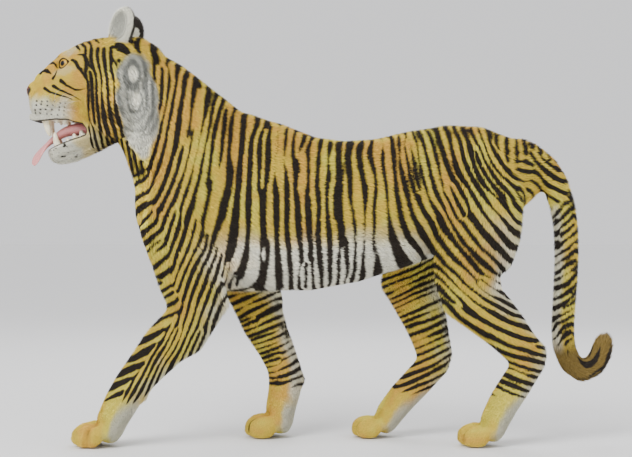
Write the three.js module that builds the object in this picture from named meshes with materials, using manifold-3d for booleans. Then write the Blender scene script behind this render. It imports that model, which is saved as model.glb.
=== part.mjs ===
// A life-size adult male Bengal tiger, walking, parted into its named regions by thin cuts.
// Millimetres, +Z up. The head points to -Y and the animal's left side is +X.
// The solids reach out to the tips of the coat; the fur itself is not modelled here.
import * as THREE from 'three';
import { mergeVertices } from 'three/addons/utils/BufferGeometryUtils.js';
import Module from 'manifold-3d';

const wasm = await Module();
wasm.setup();

// ---------------------------------------------------------------- driving dimensions
const CUT = 0.3;                 // width of every parting cut
const LEFT = 1;
const RIGHT = -1;

const WITHERS = 1000;            // height of the shoulder hump
const BACK_DIP = 905;            // lowest point of the back
const CROUP = 958;               // highest point over the hips
const BRISKET = 442;             // underside of the chest

const EYE = { x: 54, y: -778, z: 1122, radius: 22 };
const EAR = { x: 86, y: -612, z: 1228, wide: 50, tall: 60, deep: 26, wall: 10 };
const JAW_HINGE = { y: -640, z: 1010 };
const JAW_OPEN = THREE.MathUtils.degToRad(24);

const COLOURS = { coat: 0xd08b35, pale: 0xe9dfc8, eye: 0xc9a227, tongue: 0xc9807a, tooth: 0xe8dfc4 };

// ---------------------------------------------------------------- solids from three.js meshes
function solidOf(geometry) {
  const bare = geometry.clone();
  bare.deleteAttribute('normal');
  bare.deleteAttribute('uv');
  const merged = mergeVertices(bare, 1e-4);
  return new wasm.Manifold(new wasm.Mesh({
    numProp: 3,
    vertProperties: Float32Array.from(merged.attributes.position.array),
    triVerts: Uint32Array.from(merged.index.array),
  }));
}

function geometryOf(solid) {
  const { vertProperties, triVerts } = solid.getMesh();
  const geometry = new THREE.BufferGeometry();
  geometry.setAttribute('position', new THREE.BufferAttribute(Float32Array.from(vertProperties), 3));
  geometry.setIndex(new THREE.BufferAttribute(Uint32Array.from(triVerts), 1));
  geometry.computeVertexNormals();
  return geometry;
}

function union(solids) {
  return solids.reduce((sum, solid) => sum.add(solid));
}

// One station of a body or limb: its centre, its half width, and its half depth on the side
// of the back (of a limb, its rear side) and on the other side.
function station(x, y, z, wide, over, under = over) {
  return { centre: new THREE.Vector3(x, y, z), size: new THREE.Vector3(wide, over, under) };
}

// A closed fleshy form through a row of stations, with a domed end at each end. Stations run
// towards the tail or down a limb, so that "over" lies on the back or on a limb's rear side.
// "twist" turns its sections about the centre line, as a share of the way along.
function flesh(stations, { sides = 16, rings = 10, dome = 0.6, round = 2, grow = 0, twist = null } = {}) {
  const path = new THREE.CatmullRomCurve3(stations.map((s) => s.centre));
  const sizes = new THREE.CatmullRomCurve3(stations.map((s) => s.size));
  const vertices = [];
  const addRing = (along, scale, push) => {
    const centre = path.getPoint(along);
    const size = sizes.getPoint(along);
    const tangent = path.getTangent(along);
    const across = new THREE.Vector3(1, 0, 0).addScaledVector(tangent, -tangent.x).normalize();
    if (twist) across.applyAxisAngle(tangent, twist(along));
    const above = new THREE.Vector3().crossVectors(across, tangent);
    centre.addScaledVector(tangent, push);
    for (let side = 0; side < sides; side += 1) {
      const angle = 2 * Math.PI * side / sides;
      const cosine = Math.cos(angle);
      const sine = Math.sin(angle);
      const depth = sine > 0 ? size.y : size.z;
      const wide = scale * (size.x + grow) * Math.sign(cosine) * Math.abs(cosine) ** (2 / round);
      const high = scale * (depth + grow) * Math.sign(sine) * Math.abs(sine) ** (2 / round);
      vertices.push(centre.clone().addScaledVector(across, wide).addScaledVector(above, high));
    }
  };
  const domeLength = (end) => dome * (end.size.x + end.size.y + end.size.z) / 3 + grow;
  const front = domeLength(stations[0]);
  const rear = domeLength(stations[stations.length - 1]);
  const bend = THREE.MathUtils.degToRad(48);
  addRing(0, Math.cos(bend), -front * Math.sin(bend));
  for (let ring = 0; ring <= rings; ring += 1) addRing(ring / rings, 1, 0);
  addRing(1, Math.cos(bend), rear * Math.sin(bend));
  const frontPole = vertices.push(path.getPoint(0).addScaledVector(path.getTangent(0), -front)) - 1;
  const rearPole = vertices.push(path.getPoint(1).addScaledVector(path.getTangent(1), rear)) - 1;
  const faces = [];
  const lastRing = rings + 2;
  for (let side = 0; side < sides; side += 1) {
    const next = (side + 1) % sides;
    for (let ring = 0; ring < lastRing; ring += 1) {
      const here = ring * sides;
      const there = here + sides;
      faces.push(here + side, there + side, here + next);
      faces.push(there + side, there + next, here + next);
    }
    faces.push(frontPole, side, next);
    faces.push(rearPole, lastRing * sides + next, lastRing * sides + side);
  }
  const geometry = new THREE.BufferGeometry().setFromPoints(vertices);
  geometry.setIndex(faces);
  return solidOf(geometry);
}

// An egg of three half sizes, turned about X (tilt), Y (lean) and Z (turn), in radians.
function egg(x, y, z, wide, long, high, { sides = 8, rings = 5, tilt = 0, lean = 0, turn = 0 } = {}) {
  const geometry = new THREE.SphereGeometry(1, sides, rings);
  geometry.rotateX(Math.PI / 2);
  geometry.scale(wide, long, high);
  geometry.rotateX(tilt);
  geometry.rotateY(lean);
  geometry.rotateZ(turn);
  geometry.translate(x, y, z);
  return solidOf(geometry);
}

// A half space as [normal, offset]: the side that its normal points to, through a point.
function beyond(normal, point) {
  const unit = new THREE.Vector3(...normal).normalize();
  return { unit, offset: unit.dot(new THREE.Vector3(...point)) };
}

// The block of space beyond every plane, made larger by "grow".
function region(planes, grow = 0) {
  const everything = solidOf(new THREE.BoxGeometry(6000, 6000, 6000));
  return planes.reduce(
    (block, plane) => block.trimByPlane(plane.unit.toArray(), plane.offset - grow),
    everything,
  );
}

// Takes the region beyond the planes off a solid, and leaves a cut between the two.
function part(solid, planes) {
  return [solid.intersect(region(planes)), solid.subtract(region(planes, CUT))];
}

// ---------------------------------------------------------------- trunk and neck
function trunkForm() {
  return flesh([
    station(0, -532, 684, 92, 136, 118),
    station(0, -466, 694, 136, 214, 234),
    station(0, -380, 705, 160, 262, 258),
    station(0, -290, 715, 170, WITHERS - 722, 715 - BRISKET),
    station(0, -170, 700, 178, 258, 700 - BRISKET),
    station(0, -50, 690, 182, 226, 241),
    station(0, 60, 692, 181, BACK_DIP - 692, 219),
    station(0, 170, 710, 172, 203, 203),
    station(0, 280, 735, 158, 204, 188),
    station(0, 390, 765, 150, CROUP - 766, 172),
    station(0, 480, 785, 138, 162, 150),
    station(0, 560, 795, 104, 114, 112),
    station(0, 612, 795, 58, 66, 72),
  ], { sides: 16, rings: 12, dome: 0.45, round: 2.15 });
}

function neckForm() {
  return flesh([
    station(0, -588, 1058, 122, 142, 128),
    station(0, -540, 1008, 128, 162, 148),
    station(0, -470, 932, 138, 178, 174),
    station(0, -385, 850, 152, 182, 250),
    station(0, -290, 780, 158, 180, 232),
  ], { sides: 14, rings: 5, round: 2.05 });
}

// ---------------------------------------------------------------- legs
const mix = THREE.MathUtils.lerp;

// A point between two joints, pushed back by a distance.
function between(from, to, share, back = 0) {
  return [mix(from.y, to.y, share) + back, mix(from.z, to.z, share)];
}

function foreLegForm(side, { apart, shoulder, elbow, wrist, paw }) {
  const x = (outward) => side * (apart + outward);
  const limb = flesh([
    station(side * 104, shoulder.y + 150, 850, 52, 84, 80),
    station(side * 122, shoulder.y + 70, 730, 67, 118, 104),
    station(side * 124, ...between(shoulder, elbow, 0.2, 16), 68, 116, 96),
    station(side * 118, ...between(shoulder, elbow, 0.72, 26), 64, 116, 94),
    station(x(2), ...between(elbow, wrist, 0.02, 10), 60, 104, 82),
    station(x(-2), ...between(elbow, wrist, 0.3), 62, 80, 80),
    station(x(-6), ...between(elbow, wrist, 0.6), 57, 66, 67),
    station(x(-9), ...between(elbow, wrist, 0.9), 56, 57, 57),
    station(x(-9), ...between(wrist, paw, 0.25), 61, 55, 53),
    station(x(-8), ...between(wrist, paw, 0.7), 69, 50, 49),
    station(x(-8), paw.y + 10, paw.z - 6, 72, 38, 42),
  ], { sides: 10, rings: 11 });
  const wristPad = egg(x(-2), wrist.y + 46, wrist.z - 24, 22, 22, 24, { sides: 5, rings: 4 });
  const dewclaw = egg(x(-58), wrist.y - 10, wrist.z - 58, 16, 20, 25, { sides: 5, rings: 4 });
  return union([limb, wristPad, dewclaw, ...pawForm(x(-8), paw, 74, 1)]);
}

function hindLegForm(side, { apart, hip, knee, hock, paw }) {
  const x = (outward) => side * (apart + outward);
  const thigh = flesh([
    station(side * 92, hip.y - 14, hip.z + 40, 52, 128, 124),
    station(side * 102, ...between(hip, knee, 0.3, 10), 64, 158, 136),
    station(side * 106, ...between(hip, knee, 0.62, 30), 64, 150, 122),
    station(x(4), ...between(hip, knee, 0.92, 44), 58, 118, 106),
    station(x(0), ...between(knee, hock, 0.2, 30), 52, 94, 86),
  ], { sides: 10, rings: 5, dome: 0.75 });
  const shank = flesh([
    station(x(0), ...between(knee, hock, 0.1, 10), 57, 108, 80),
    station(x(-2), ...between(knee, hock, 0.45, 16), 54, 96, 70),
    station(x(-4), ...between(knee, hock, 0.82, 14), 47, 68, 60),
    station(x(-5), ...between(hock, paw, 0.08, 12), 46, 58, 55),
    station(x(-5), ...between(hock, paw, 0.45, 4), 51, 49, 50),
    station(x(-5), ...between(hock, paw, 0.78), 59, 47, 46),
    station(x(-5), paw.y + 8, paw.z - 6, 62, 36, 40),
  ], { sides: 10, rings: 8 });
  const heelBone = egg(x(-5), hock.y + 38, hock.z + 28, 27, 29, 45, { sides: 6, rings: 4, tilt: 0.5 });
  return union([thigh, shank, heelBone, ...pawForm(x(-5), paw, 65, 0.92)]);
}

// Four toes, of which the middle two reach furthest, in front of the foot that the leg ends in.
function pawForm(x, paw, halfWidth, scale) {
  return [-0.77, -0.27, 0.27, 0.77].map((place) => {
    const reach = (Math.abs(place) < 0.5 ? 60 : 44) * scale;
    return egg(
      x + place * halfWidth * 1.04, paw.y - reach, 33 * scale, 22.5 * scale, 52 * scale, 41 * scale,
      { sides: 7, rings: 4, tilt: 0.4, turn: -place * 0.12 },
    );
  });
}

// ---------------------------------------------------------------- tail
const TAIL = [
  station(0, 560, 862, 60, 56, 60),
  station(0, 622, 838, 52, 50, 54),
  station(0, 676, 770, 46, 47, 47),
  station(0, 704, 670, 44, 45, 45),
  station(0, 710, 560, 43, 44, 44),
  station(-4, 706, 450, 42, 43, 43),
  station(-10, 700, 345, 41, 41, 41),
  station(-16, 712, 255, 39, 40, 40),
  station(-22, 758, 205, 38, 38, 38),
  station(-28, 806, 236, 39, 39, 39),
  station(-32, 828, 294, 35, 36, 36),
];

function tailForm(grow = 0) {
  return flesh(TAIL, { sides: 9, rings: 15, dome: 1, grow });
}

// ---------------------------------------------------------------- head
function opened(y, z) {
  const back = y - JAW_HINGE.y;
  const lift = z - JAW_HINGE.z;
  return [
    JAW_HINGE.y + back * Math.cos(JAW_OPEN) - lift * Math.sin(JAW_OPEN),
    JAW_HINGE.z + back * Math.sin(JAW_OPEN) + lift * Math.cos(JAW_OPEN),
  ];
}

// Swings a solid of the closed lower jaw open about its hinge.
function openJaw(solid) {
  const swing = new THREE.Matrix4().makeTranslation(0, JAW_HINGE.y, JAW_HINGE.z)
    .multiply(new THREE.Matrix4().makeRotationX(JAW_OPEN))
    .multiply(new THREE.Matrix4().makeTranslation(0, -JAW_HINGE.y, -JAW_HINGE.z));
  return solid.transform(swing.toArray());
}

function skullForm() {
  const skull = flesh([
    station(0, -868, 1046, 48, 44, 92),
    station(0, -848, 1046, 66, 66, 100),
    station(0, -812, 1056, 73, 80, 116),
    station(0, -776, 1070, 84, 92, 132),
    station(0, -738, 1082, 105, 104, 144),
    station(0, -696, 1088, 127, 116, 150),
    station(0, -648, 1086, 140, 131, 150),
    station(0, -600, 1078, 142, 140, 152),
    station(0, -560, 1062, 132, 132, 156),
  ], { sides: 16, rings: 8, round: 2.5 });
  const bridge = flesh([
    station(0, -872, 1084, 27, 18, 30),
    station(0, -836, 1100, 31, 24, 30),
    station(0, -800, 1122, 33, 24, 30),
    station(0, -762, 1148, 42, 28, 30),
    station(0, -720, 1170, 56, 32, 30),
  ], { sides: 7, rings: 4 });
  const pairs = [LEFT, RIGHT].flatMap((side) => [
    // whisker pad, and the chewing muscle with the ruff behind it
    egg(side * 38, -840, 1012, 40, 50, 50, { turn: side * 0.22, tilt: 0.08 }),
    egg(side * 100, -626, 1004, 50, 94, 106, { sides: 10, rings: 6, turn: side * 0.26, lean: side * 0.12 }),
  ]);
  return union([skull, bridge, ...pairs]);
}

// The lower jaw as it lies when closed.
function jawForm() {
  return flesh([
    station(0, -850, 938, 40, 30, 34),
    station(0, -820, 936, 48, 34, 40),
    station(0, -780, 938, 56, 34, 42),
    station(0, -730, 946, 74, 40, 50),
    station(0, -680, 962, 98, 46, 60),
    station(0, -640, 975, 104, 50, 70),
  ], { sides: 10, rings: 6, dome: 0.7, round: 2.3 });
}

// The gap between the lips is open at both sides, and ends at the corner of the mouth.
const LIP_CORNER = { y: -748, z: 954 };
const UPPER_LIP = 968;
const LOWER_LIP = 962;
const BEYOND_NOSE = -1000;

function mouthGap() {
  const [frontY, frontZ] = opened(-868, LOWER_LIP);
  const [middleY, middleZ] = opened(-800, LOWER_LIP - 4);
  const width = 400;
  const outline = new THREE.Shape();
  outline.moveTo(LIP_CORNER.y, LIP_CORNER.z + 1);
  outline.quadraticCurveTo(-800, UPPER_LIP + 6, -850, UPPER_LIP);
  outline.lineTo(BEYOND_NOSE, UPPER_LIP + 4);
  outline.lineTo(BEYOND_NOSE, frontZ - 60);
  outline.lineTo(frontY, frontZ);
  outline.quadraticCurveTo(middleY, middleZ, LIP_CORNER.y, LIP_CORNER.z - 1);
  const slab = new THREE.ExtrudeGeometry(outline, { depth: width, bevelEnabled: false, curveSegments: 3 });
  slab.rotateX(Math.PI / 2);
  slab.rotateZ(Math.PI / 2);
  slab.translate(-width / 2, 0, 0);
  return solidOf(slab);
}

function mouthHollow() {
  return flesh([
    station(0, -846, 976, 24, 12, 14),
    station(0, -800, 978, 32, 16, 24),
    station(0, -750, 972, 36, 20, 34),
    station(0, -706, 958, 34, 22, 26),
  ], { sides: 8, rings: 3 });
}

function earForm(side) {
  const shape = { sides: 10, rings: 6 };
  const shell = egg(0, 0, 0, EAR.wide, EAR.deep, EAR.tall, shape);
  const cup = egg(0, -EAR.deep * 0.75, -4, EAR.wide - EAR.wall, EAR.deep + 2, EAR.tall - EAR.wall, shape);
  const pose = new THREE.Matrix4().makeRotationFromEuler(new THREE.Euler(-0.12, side * 0.42, side * 0.72, 'ZYX'));
  pose.setPosition(side * EAR.x, EAR.y, EAR.z);
  return shell.subtract(cup).transform(pose.toArray());
}

function eyeball(side, grow = 0) {
  const radius = EYE.radius + grow;
  return egg(side * EYE.x, EYE.y, EYE.z, radius, radius, radius, { sides: 10, rings: 7 });
}

function eyeSocket(side) {
  return egg(side * (EYE.x + 9), EYE.y - 17, EYE.z + 1, 25, 17, 15, { turn: side * 0.45, tilt: -0.1 });
}

// ---------------------------------------------------------------- teeth and tongue
// A tooth [x, y, radius, length, lean] stands on its gum, its tip moved back by "lean".
const FANG = [[0, 0], [1, 0], [0.92, 0.35], [0.55, 0.8], [0, 1]];
const PEG = [[0, 0], [1, 0], [0.8, 0.6], [0, 1]];
const ROOT = 0.4;

function tooth([x, y, radius, length, lean], gumLine, up, profile = PEG, sides = 6) {
  const points = profile.map(([r, h]) => new THREE.Vector2(r * radius, h * (length + ROOT) - ROOT));
  const geometry = new THREE.LatheGeometry(points, sides);
  geometry.rotateX(Math.PI / 2);
  geometry.scale(1, 1.2, 1);
  const { position } = geometry.attributes;
  for (let i = 0; i < position.count; i += 1) {
    const share = Math.max(0, position.getZ(i)) / length;
    position.setY(i, position.getY(i) + lean * share * share);
  }
  const solid = solidOf(geometry);
  return (up ? solid : solid.mirror([0, 0, 1])).translate([x, y, gumLine]);
}

// The horseshoe of a gum, seen from above, between two heights.
function gumArch({ half, front, rear, thick, low, high }, grow = 0) {
  const outer = half + grow;
  const inner = half - thick - grow;
  const bend = 28;
  const outline = new THREE.Shape();
  outline.moveTo(outer, rear + grow);
  outline.lineTo(outer, front + bend + 10);
  outline.quadraticCurveTo(outer - 2, front - grow, 0, front - grow);
  outline.quadraticCurveTo(-outer + 2, front - grow, -outer, front + bend + 10);
  outline.lineTo(-outer, rear + grow);
  outline.lineTo(-inner, rear + grow);
  outline.lineTo(-inner, front + bend + 10);
  outline.quadraticCurveTo(-inner + 2, front + thick + grow, 0, front + thick + grow);
  outline.quadraticCurveTo(inner - 2, front + thick + grow, inner, front + bend + 10);
  outline.lineTo(inner, rear + grow);
  const depth = high - low + 2 * grow;
  const slab = new THREE.ExtrudeGeometry(outline, { depth, bevelEnabled: false, curveSegments: 3 });
  slab.translate(0, 0, low - grow);
  return solidOf(slab);
}

const UPPER_GUM = { half: 48, front: -866, rear: -754, thick: 20, low: 963, high: 984 };
const LOWER_GUM = { half: 40, front: -862, rear: -752, thick: 19, low: 942, high: 963 };

function upperTeeth() {
  const gumLine = UPPER_GUM.low;
  const cheekTeeth = [[39, -812, 6.5, 17, 2], [39, -789, 8.5, 22, 2], [39, -768, 6.5, 14, 2]];
  const incisors = [4, 12, 20.5];
  const teeth = [LEFT, RIGHT].flatMap((side) => [
    tooth([side * 35, -843, 10.5, 56, 12], gumLine, false, FANG, 8),
    ...cheekTeeth.map(([x, ...rest]) => tooth([side * x, ...rest], gumLine, false)),
    ...incisors.map((x) => tooth([side * x, -858 + x * 0.1, 3.9, 13, 2], gumLine, false)),
  ]);
  return union([gumArch(UPPER_GUM), ...teeth]);
}

function lowerTeeth() {
  const gumLine = LOWER_GUM.high;
  const cheekTeeth = [[31, -812, 6.5, 14, 2], [31, -790, 7.5, 18, 2], [31, -767, 8, 18, 2]];
  const incisors = [3.4, 10, 17];
  const teeth = [LEFT, RIGHT].flatMap((side) => [
    tooth([side * 28, -847, 9.5, 46, 10], gumLine, true, FANG, 8),
    ...cheekTeeth.map(([x, ...rest]) => tooth([side * x, ...rest], gumLine, true)),
    ...incisors.map((x) => tooth([side * x, -856 + x * 0.1, 3.2, 9, 1], gumLine, true)),
  ]);
  return openJaw(union([gumArch(LOWER_GUM), ...teeth]));
}

// The room that each row of teeth takes between the lips, with the gum that carries it.
function upperToothRoom() {
  const room = { ...UPPER_GUM, thick: UPPER_GUM.thick + 6, low: UPPER_GUM.low - 34 };
  return gumArch(room, CUT);
}

function lowerToothRoom() {
  const room = { ...LOWER_GUM, thick: LOWER_GUM.thick + 6, high: LOWER_GUM.high + 30 };
  return openJaw(gumArch(room, CUT));
}

// The tongue fills the mouth, passes between the lower canines and hangs over to the left.
function tongueForm(grow = 0) {
  return flesh([
    station(24, -880, 832, 17, 4, 4),
    station(18, -871, 856, 25, 5.5, 5.5),
    station(9, -851, 882, 24, 7, 7),
    station(2, -823, 907, 14.5, 11, 10),
    station(0, -790, 928, 25, 17, 15),
    station(0, -748, 937, 31, 20, 18),
    station(0, -700, 934, 28, 18, 18),
  ], { sides: 8, rings: 9, grow, twist: (along) => -0.75 * Math.max(0, 1 - along * 2.2) });
}

// ---------------------------------------------------------------- the pose of each leg
const LEGS = {
  foreleg_left: {
    side: LEFT, form: foreLegForm,
    cut: {
      top: { x: 190, z: 800 }, lean: -0.26, belly: 432,
      fore: { y: -2000, z: 0, slope: 0 }, rear: { y: -285, z: 400, slope: -0.2 },
    },
    joints: {
      apart: 108, shoulder: { y: -500, z: 655 }, elbow: { y: -404, z: 385 },
      wrist: { y: -590, z: 172 }, paw: { y: -655, z: 44 },
    },
  },
  foreleg_right: {
    side: RIGHT, form: foreLegForm,
    cut: {
      top: { x: 190, z: 800 }, lean: -0.26, belly: 436,
      fore: { y: -2000, z: 0, slope: 0 }, rear: { y: 40, z: 0, slope: 0.35 },
    },
    joints: {
      apart: 106, shoulder: { y: -468, z: 662 }, elbow: { y: -255, z: 462 },
      wrist: { y: -128, z: 200 }, paw: { y: -158, z: 44 },
    },
  },
  hindleg_left: {
    side: LEFT, form: hindLegForm,
    cut: {
      top: { x: 150, z: 850 }, lean: -0.28, belly: 540,
      fore: { y: 200, z: 500, slope: -0.35 }, rear: { y: 2000, z: 0, slope: 0 },
    },
    joints: {
      apart: 100, hip: { y: 440, z: 800 }, knee: { y: 345, z: 468 },
      hock: { y: 578, z: 258 }, paw: { y: 466, z: 44 },
    },
  },
  hindleg_right: {
    side: RIGHT, form: hindLegForm,
    cut: {
      top: { x: 150, z: 850 }, lean: -0.28, belly: 500,
      fore: { y: 80, z: 500, slope: -0.45 }, rear: { y: 2000, z: 0, slope: 0 },
    },
    joints: {
      apart: 100, hip: { y: 430, z: 795 }, knee: { y: 196, z: 522 },
      hock: { y: 318, z: 240 }, paw: { y: 160, z: 44 },
    },
  },
};

// ---------------------------------------------------------------- the whole body, then its parts
const meshes = [];

function addNode(name, solid, colour, roughness = 0.85) {
  const mesh = new THREE.Mesh(
    geometryOf(solid),
    new THREE.MeshStandardMaterial({ color: colour, roughness, metalness: 0 }),
  );
  mesh.name = name;
  meshes.push(mesh);
}

const sides = [LEFT, RIGHT];
const cavities = [
  mouthGap(), mouthHollow(), tongueForm(CUT), upperToothRoom(), lowerToothRoom(),
  ...sides.map(eyeSocket), ...sides.map((side) => eyeball(side, CUT)),
];
const tailCut = [beyond([0, 0.76, -0.65], [0, 628, 836]), beyond([0, 1, 0], [0, 600, 0])];
let [tail, tailRoot] = part(tailForm(), tailCut);
let body = union([
  trunkForm(), neckForm(), tailRoot, skullForm(), openJaw(jawForm()), ...sides.map(earForm),
  ...Object.values(LEGS).map((leg) => leg.form(leg.side, leg.joints)),
]).subtract(union(cavities)).subtract(region(tailCut, CUT).intersect(tailForm(CUT)))
  .trimByPlane([0, 0, 1], 0);

// head, ears and lower jaw
const UP = [0, 0, 1];
let head;
[head, body] = part(body, [beyond([0, -0.939, 0.343], [0, -552, 1035]), beyond(UP, [0, 0, 780])]);
const earBase = (side) => [
  beyond([side * 0.41, 0.05, 0.91], [side * 66, 0, 1196]),
  beyond([side, 0, 0], [0, 0, 0]),
];
for (const side of sides) {
  let ear;
  [ear, head] = part(head, earBase(side));
  addNode(side === LEFT ? 'ear_left' : 'ear_right', ear, COLOURS.coat);
}
let jaw;
[jaw, head] = part(head, [beyond([0, 0, -1], [0, 0, LIP_CORNER.z - 0.3])]);
addNode('head', head, COLOURS.coat);
addNode('lower_jaw', jaw, COLOURS.pale);
addNode('eye_left', eyeball(LEFT), COLOURS.eye, 0.2);
addNode('eye_right', eyeball(RIGHT), COLOURS.eye, 0.2);
addNode('upper_teeth', upperTeeth(), COLOURS.tooth, 0.4);
addNode('lower_teeth', lowerTeeth(), COLOURS.tooth, 0.4);
addNode('tongue', tongueForm(), COLOURS.tongue, 0.5);

let neck;
[neck, body] = part(body, [beyond([0, -0.782, 0.623], [0, -437, 872])]);
addNode('neck', neck, COLOURS.coat);

// tail, in three lengths
let tailBase;
let tailMiddle;
[tailBase, tail] = part(tail, [beyond(UP, [0, 0, 600])]);
[tailMiddle, tail] = part(tail, [beyond([0, -0.6, 0.8], [0, 706, 300])]);
addNode('tail_base', tailBase, COLOURS.coat);
addNode('tail_middle', tailMiddle, COLOURS.coat);
addNode('tail_tip', tail, COLOURS.coat);

// Each leg leaves the trunk at a slanting plane, and takes all that hangs below the belly there.
function legRegion(leg, grow = 0) {
  const { top, lean, belly, fore, rear } = leg.cut;
  const bounds = [
    beyond([leg.side, 0, 0], [0, 0, 0]),
    beyond([0, 1, fore.slope], [0, fore.y, fore.z]),
    beyond([0, -1, -rear.slope], [0, rear.y, rear.z]),
  ];
  const outside = beyond([leg.side * 0.96, 0, lean], [leg.side * top.x, 0, top.z]);
  const below = beyond([0, 0, -1], [0, 0, belly]);
  return region([...bounds, outside], grow).add(region([...bounds, below], grow));
}

function acrossJoint(from, joint, to) {
  const down = new THREE.Vector2(to.y - from.y, to.z - from.z).normalize();
  return beyond([0, -down.x, -down.y], [0, joint.y, joint.z]);
}

for (const [name, leg] of Object.entries(LEGS)) {
  let limb = body.intersect(legRegion(leg));
  body = body.subtract(legRegion(leg, CUT));
  const { shoulder, elbow, wrist, hip, knee, hock, paw } = leg.joints;
  const [root, middle, lower] = [shoulder ?? hip, elbow ?? knee, wrist ?? hock];
  let upper;
  let fore;
  [upper, limb] = part(limb, [acrossJoint(root, middle, lower)]);
  [fore, limb] = part(limb, [acrossJoint(middle, lower, paw)]);
  addNode(`${name}_upper`, upper, COLOURS.coat);
  addNode(`${name}_lower`, fore, COLOURS.coat);
  addNode(`${name}_paw`, limb, COLOURS.pale);
}
addNode('trunk', body, COLOURS.coat);

const tiger = new THREE.Group();
tiger.add(...meshes);
const box = new THREE.Box3().setFromObject(tiger);
tiger.position.set(-(box.min.x + box.max.x) / 2, -(box.min.y + box.max.y) / 2, -box.min.z);

export default tiger;
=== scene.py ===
"""A life-size Bengal tiger in mid stride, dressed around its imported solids.

The solids of flesh are joined into one volume, drawn in by the depth of the coat, sculpted, and turned
into one skin. Tufts of fur stand on that skin. Eyes, teeth and tongue stay separate.

Anatomy is written in millimetres: x to the animal's left, y towards its tail, z up from the floor.
"""

import bpy
import numpy as np
import openvdb
from mathutils import Euler, Matrix, Vector


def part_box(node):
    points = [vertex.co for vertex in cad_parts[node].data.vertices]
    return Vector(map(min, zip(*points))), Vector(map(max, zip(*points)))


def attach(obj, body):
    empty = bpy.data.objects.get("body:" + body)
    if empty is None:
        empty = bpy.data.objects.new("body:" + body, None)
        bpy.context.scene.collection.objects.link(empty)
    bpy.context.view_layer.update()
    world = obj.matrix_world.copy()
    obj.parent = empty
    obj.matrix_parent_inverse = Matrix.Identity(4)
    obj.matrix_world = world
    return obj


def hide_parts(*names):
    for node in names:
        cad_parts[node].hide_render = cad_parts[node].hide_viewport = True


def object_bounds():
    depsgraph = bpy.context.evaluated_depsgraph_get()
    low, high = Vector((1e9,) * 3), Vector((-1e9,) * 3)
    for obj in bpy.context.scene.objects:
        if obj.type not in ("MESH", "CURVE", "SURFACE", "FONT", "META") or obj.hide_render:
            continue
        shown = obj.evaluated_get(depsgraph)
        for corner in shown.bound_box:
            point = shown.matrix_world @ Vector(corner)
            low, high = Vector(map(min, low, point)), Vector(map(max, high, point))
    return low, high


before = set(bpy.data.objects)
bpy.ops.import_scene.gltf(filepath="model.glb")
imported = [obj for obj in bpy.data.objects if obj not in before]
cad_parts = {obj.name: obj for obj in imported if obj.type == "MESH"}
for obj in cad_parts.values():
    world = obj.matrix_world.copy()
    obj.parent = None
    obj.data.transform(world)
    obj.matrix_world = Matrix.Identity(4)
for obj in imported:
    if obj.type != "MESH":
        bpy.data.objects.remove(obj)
cad_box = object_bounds()

SIDES = (1, -1)
SEED = 7
# the frame's origin lies under the middle of the box, the anatomy's under the middle of the back
ORIGIN_Y = sum(corner.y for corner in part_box("eye_left")) / 2 + 0.778


def to_frame(points):
    """Anatomy millimetres to the frame's metres."""
    return np.asarray(points, float) * 0.001 + (0, ORIGIN_Y, 0)


def to_anatomy(points):
    """The frame's metres to anatomy millimetres."""
    return (np.asarray(points, float) - (0, ORIGIN_Y, 0)) * 1000


def unit(vectors):
    """The vectors, each at length 1."""
    return vectors / np.maximum(np.linalg.norm(vectors, axis=-1, keepdims=True), 1e-9)


def smooth(value, low, high):
    """A share that rises smoothly from 0 at low to 1 at high; low may be above high."""
    share = np.clip((value - low) / (high - low), 0, 1)
    return share * share * (3 - 2 * share)


def blend(a, b, share):
    """From a, where the share is 0, to b, where it is 1."""
    return a + (b - a) * share


# ---------------------------------------------------------------- noise
NOISE_CELLS = 32
NOISE_GAIN = 1.3       # the blending pulls the values towards 0
_lattices = {}


def noise(points, scale, seed=0):
    """Smooth noise from -1 to 1, with features of about `scale` (one size, or one for each axis)."""
    if seed not in _lattices:
        _lattices[seed] = np.random.default_rng(SEED + seed).uniform(-1, 1, [NOISE_CELLS] * 3)
    lattice = _lattices[seed]
    where = np.asarray(points, float) / scale + 100 * NOISE_CELLS      # above 0 everywhere
    cell = np.floor(where).astype(int)
    share = where - cell
    share = share * share * (3 - 2 * share)
    total = 0
    for corner in np.ndindex(2, 2, 2):
        weight = np.prod(np.where(corner, share, 1 - share), axis=-1)
        i, j, k = ((cell + corner) % NOISE_CELLS).T
        total = total + weight * lattice[i, j, k]
    return total * NOISE_GAIN


# ---------------------------------------------------------------- the animal's skeleton
EYE = np.array([54.0, -778.0, 1122.0])
EYE_RADIUS = 22.0
NOSE = np.array([0.0, -900.0, 1066.0])
HINGE = np.array([0.0, -640.0, 1010.0])
JAW_OPEN = np.radians(24)
EAR = np.array([86.0, -612.0, 1228.0])
EAR_TURN = np.array(Euler((-0.12, 0.42, 0.72)).to_matrix())
EAR_RADII = (47, 24, 58)

LEGS = {
    "foreleg_left": dict(side=1, apart=108, joints=[(-500, 655), (-404, 385), (-590, 172), (-655, 44)]),
    "foreleg_right": dict(side=-1, apart=106, joints=[(-468, 662), (-255, 462), (-128, 200), (-158, 44)]),
    "hindleg_left": dict(side=1, apart=100, joints=[(440, 800), (345, 468), (578, 258), (466, 44)]),
    "hindleg_right": dict(side=-1, apart=100, joints=[(430, 795), (196, 522), (318, 240), (160, 44)]),
}
TOE_REACH = 70
TAIL = np.array([
    (0, 600, 850), (0, 640, 820), (0, 676, 770), (0, 704, 670), (0, 710, 560), (-4, 706, 450),
    (-10, 700, 345), (-16, 712, 255), (-22, 758, 205), (-28, 806, 236), (-32, 828, 294),
], float)


def leg_points(leg):
    """The centres of a leg's joints, with the tips of its toes."""
    x = leg["side"] * leg["apart"]
    joints = [(x, y, z) for y, z in leg["joints"]]
    _, y, z = joints[-1]
    return np.array([*joints, (x, y - TOE_REACH, z - 16)], float)


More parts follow.
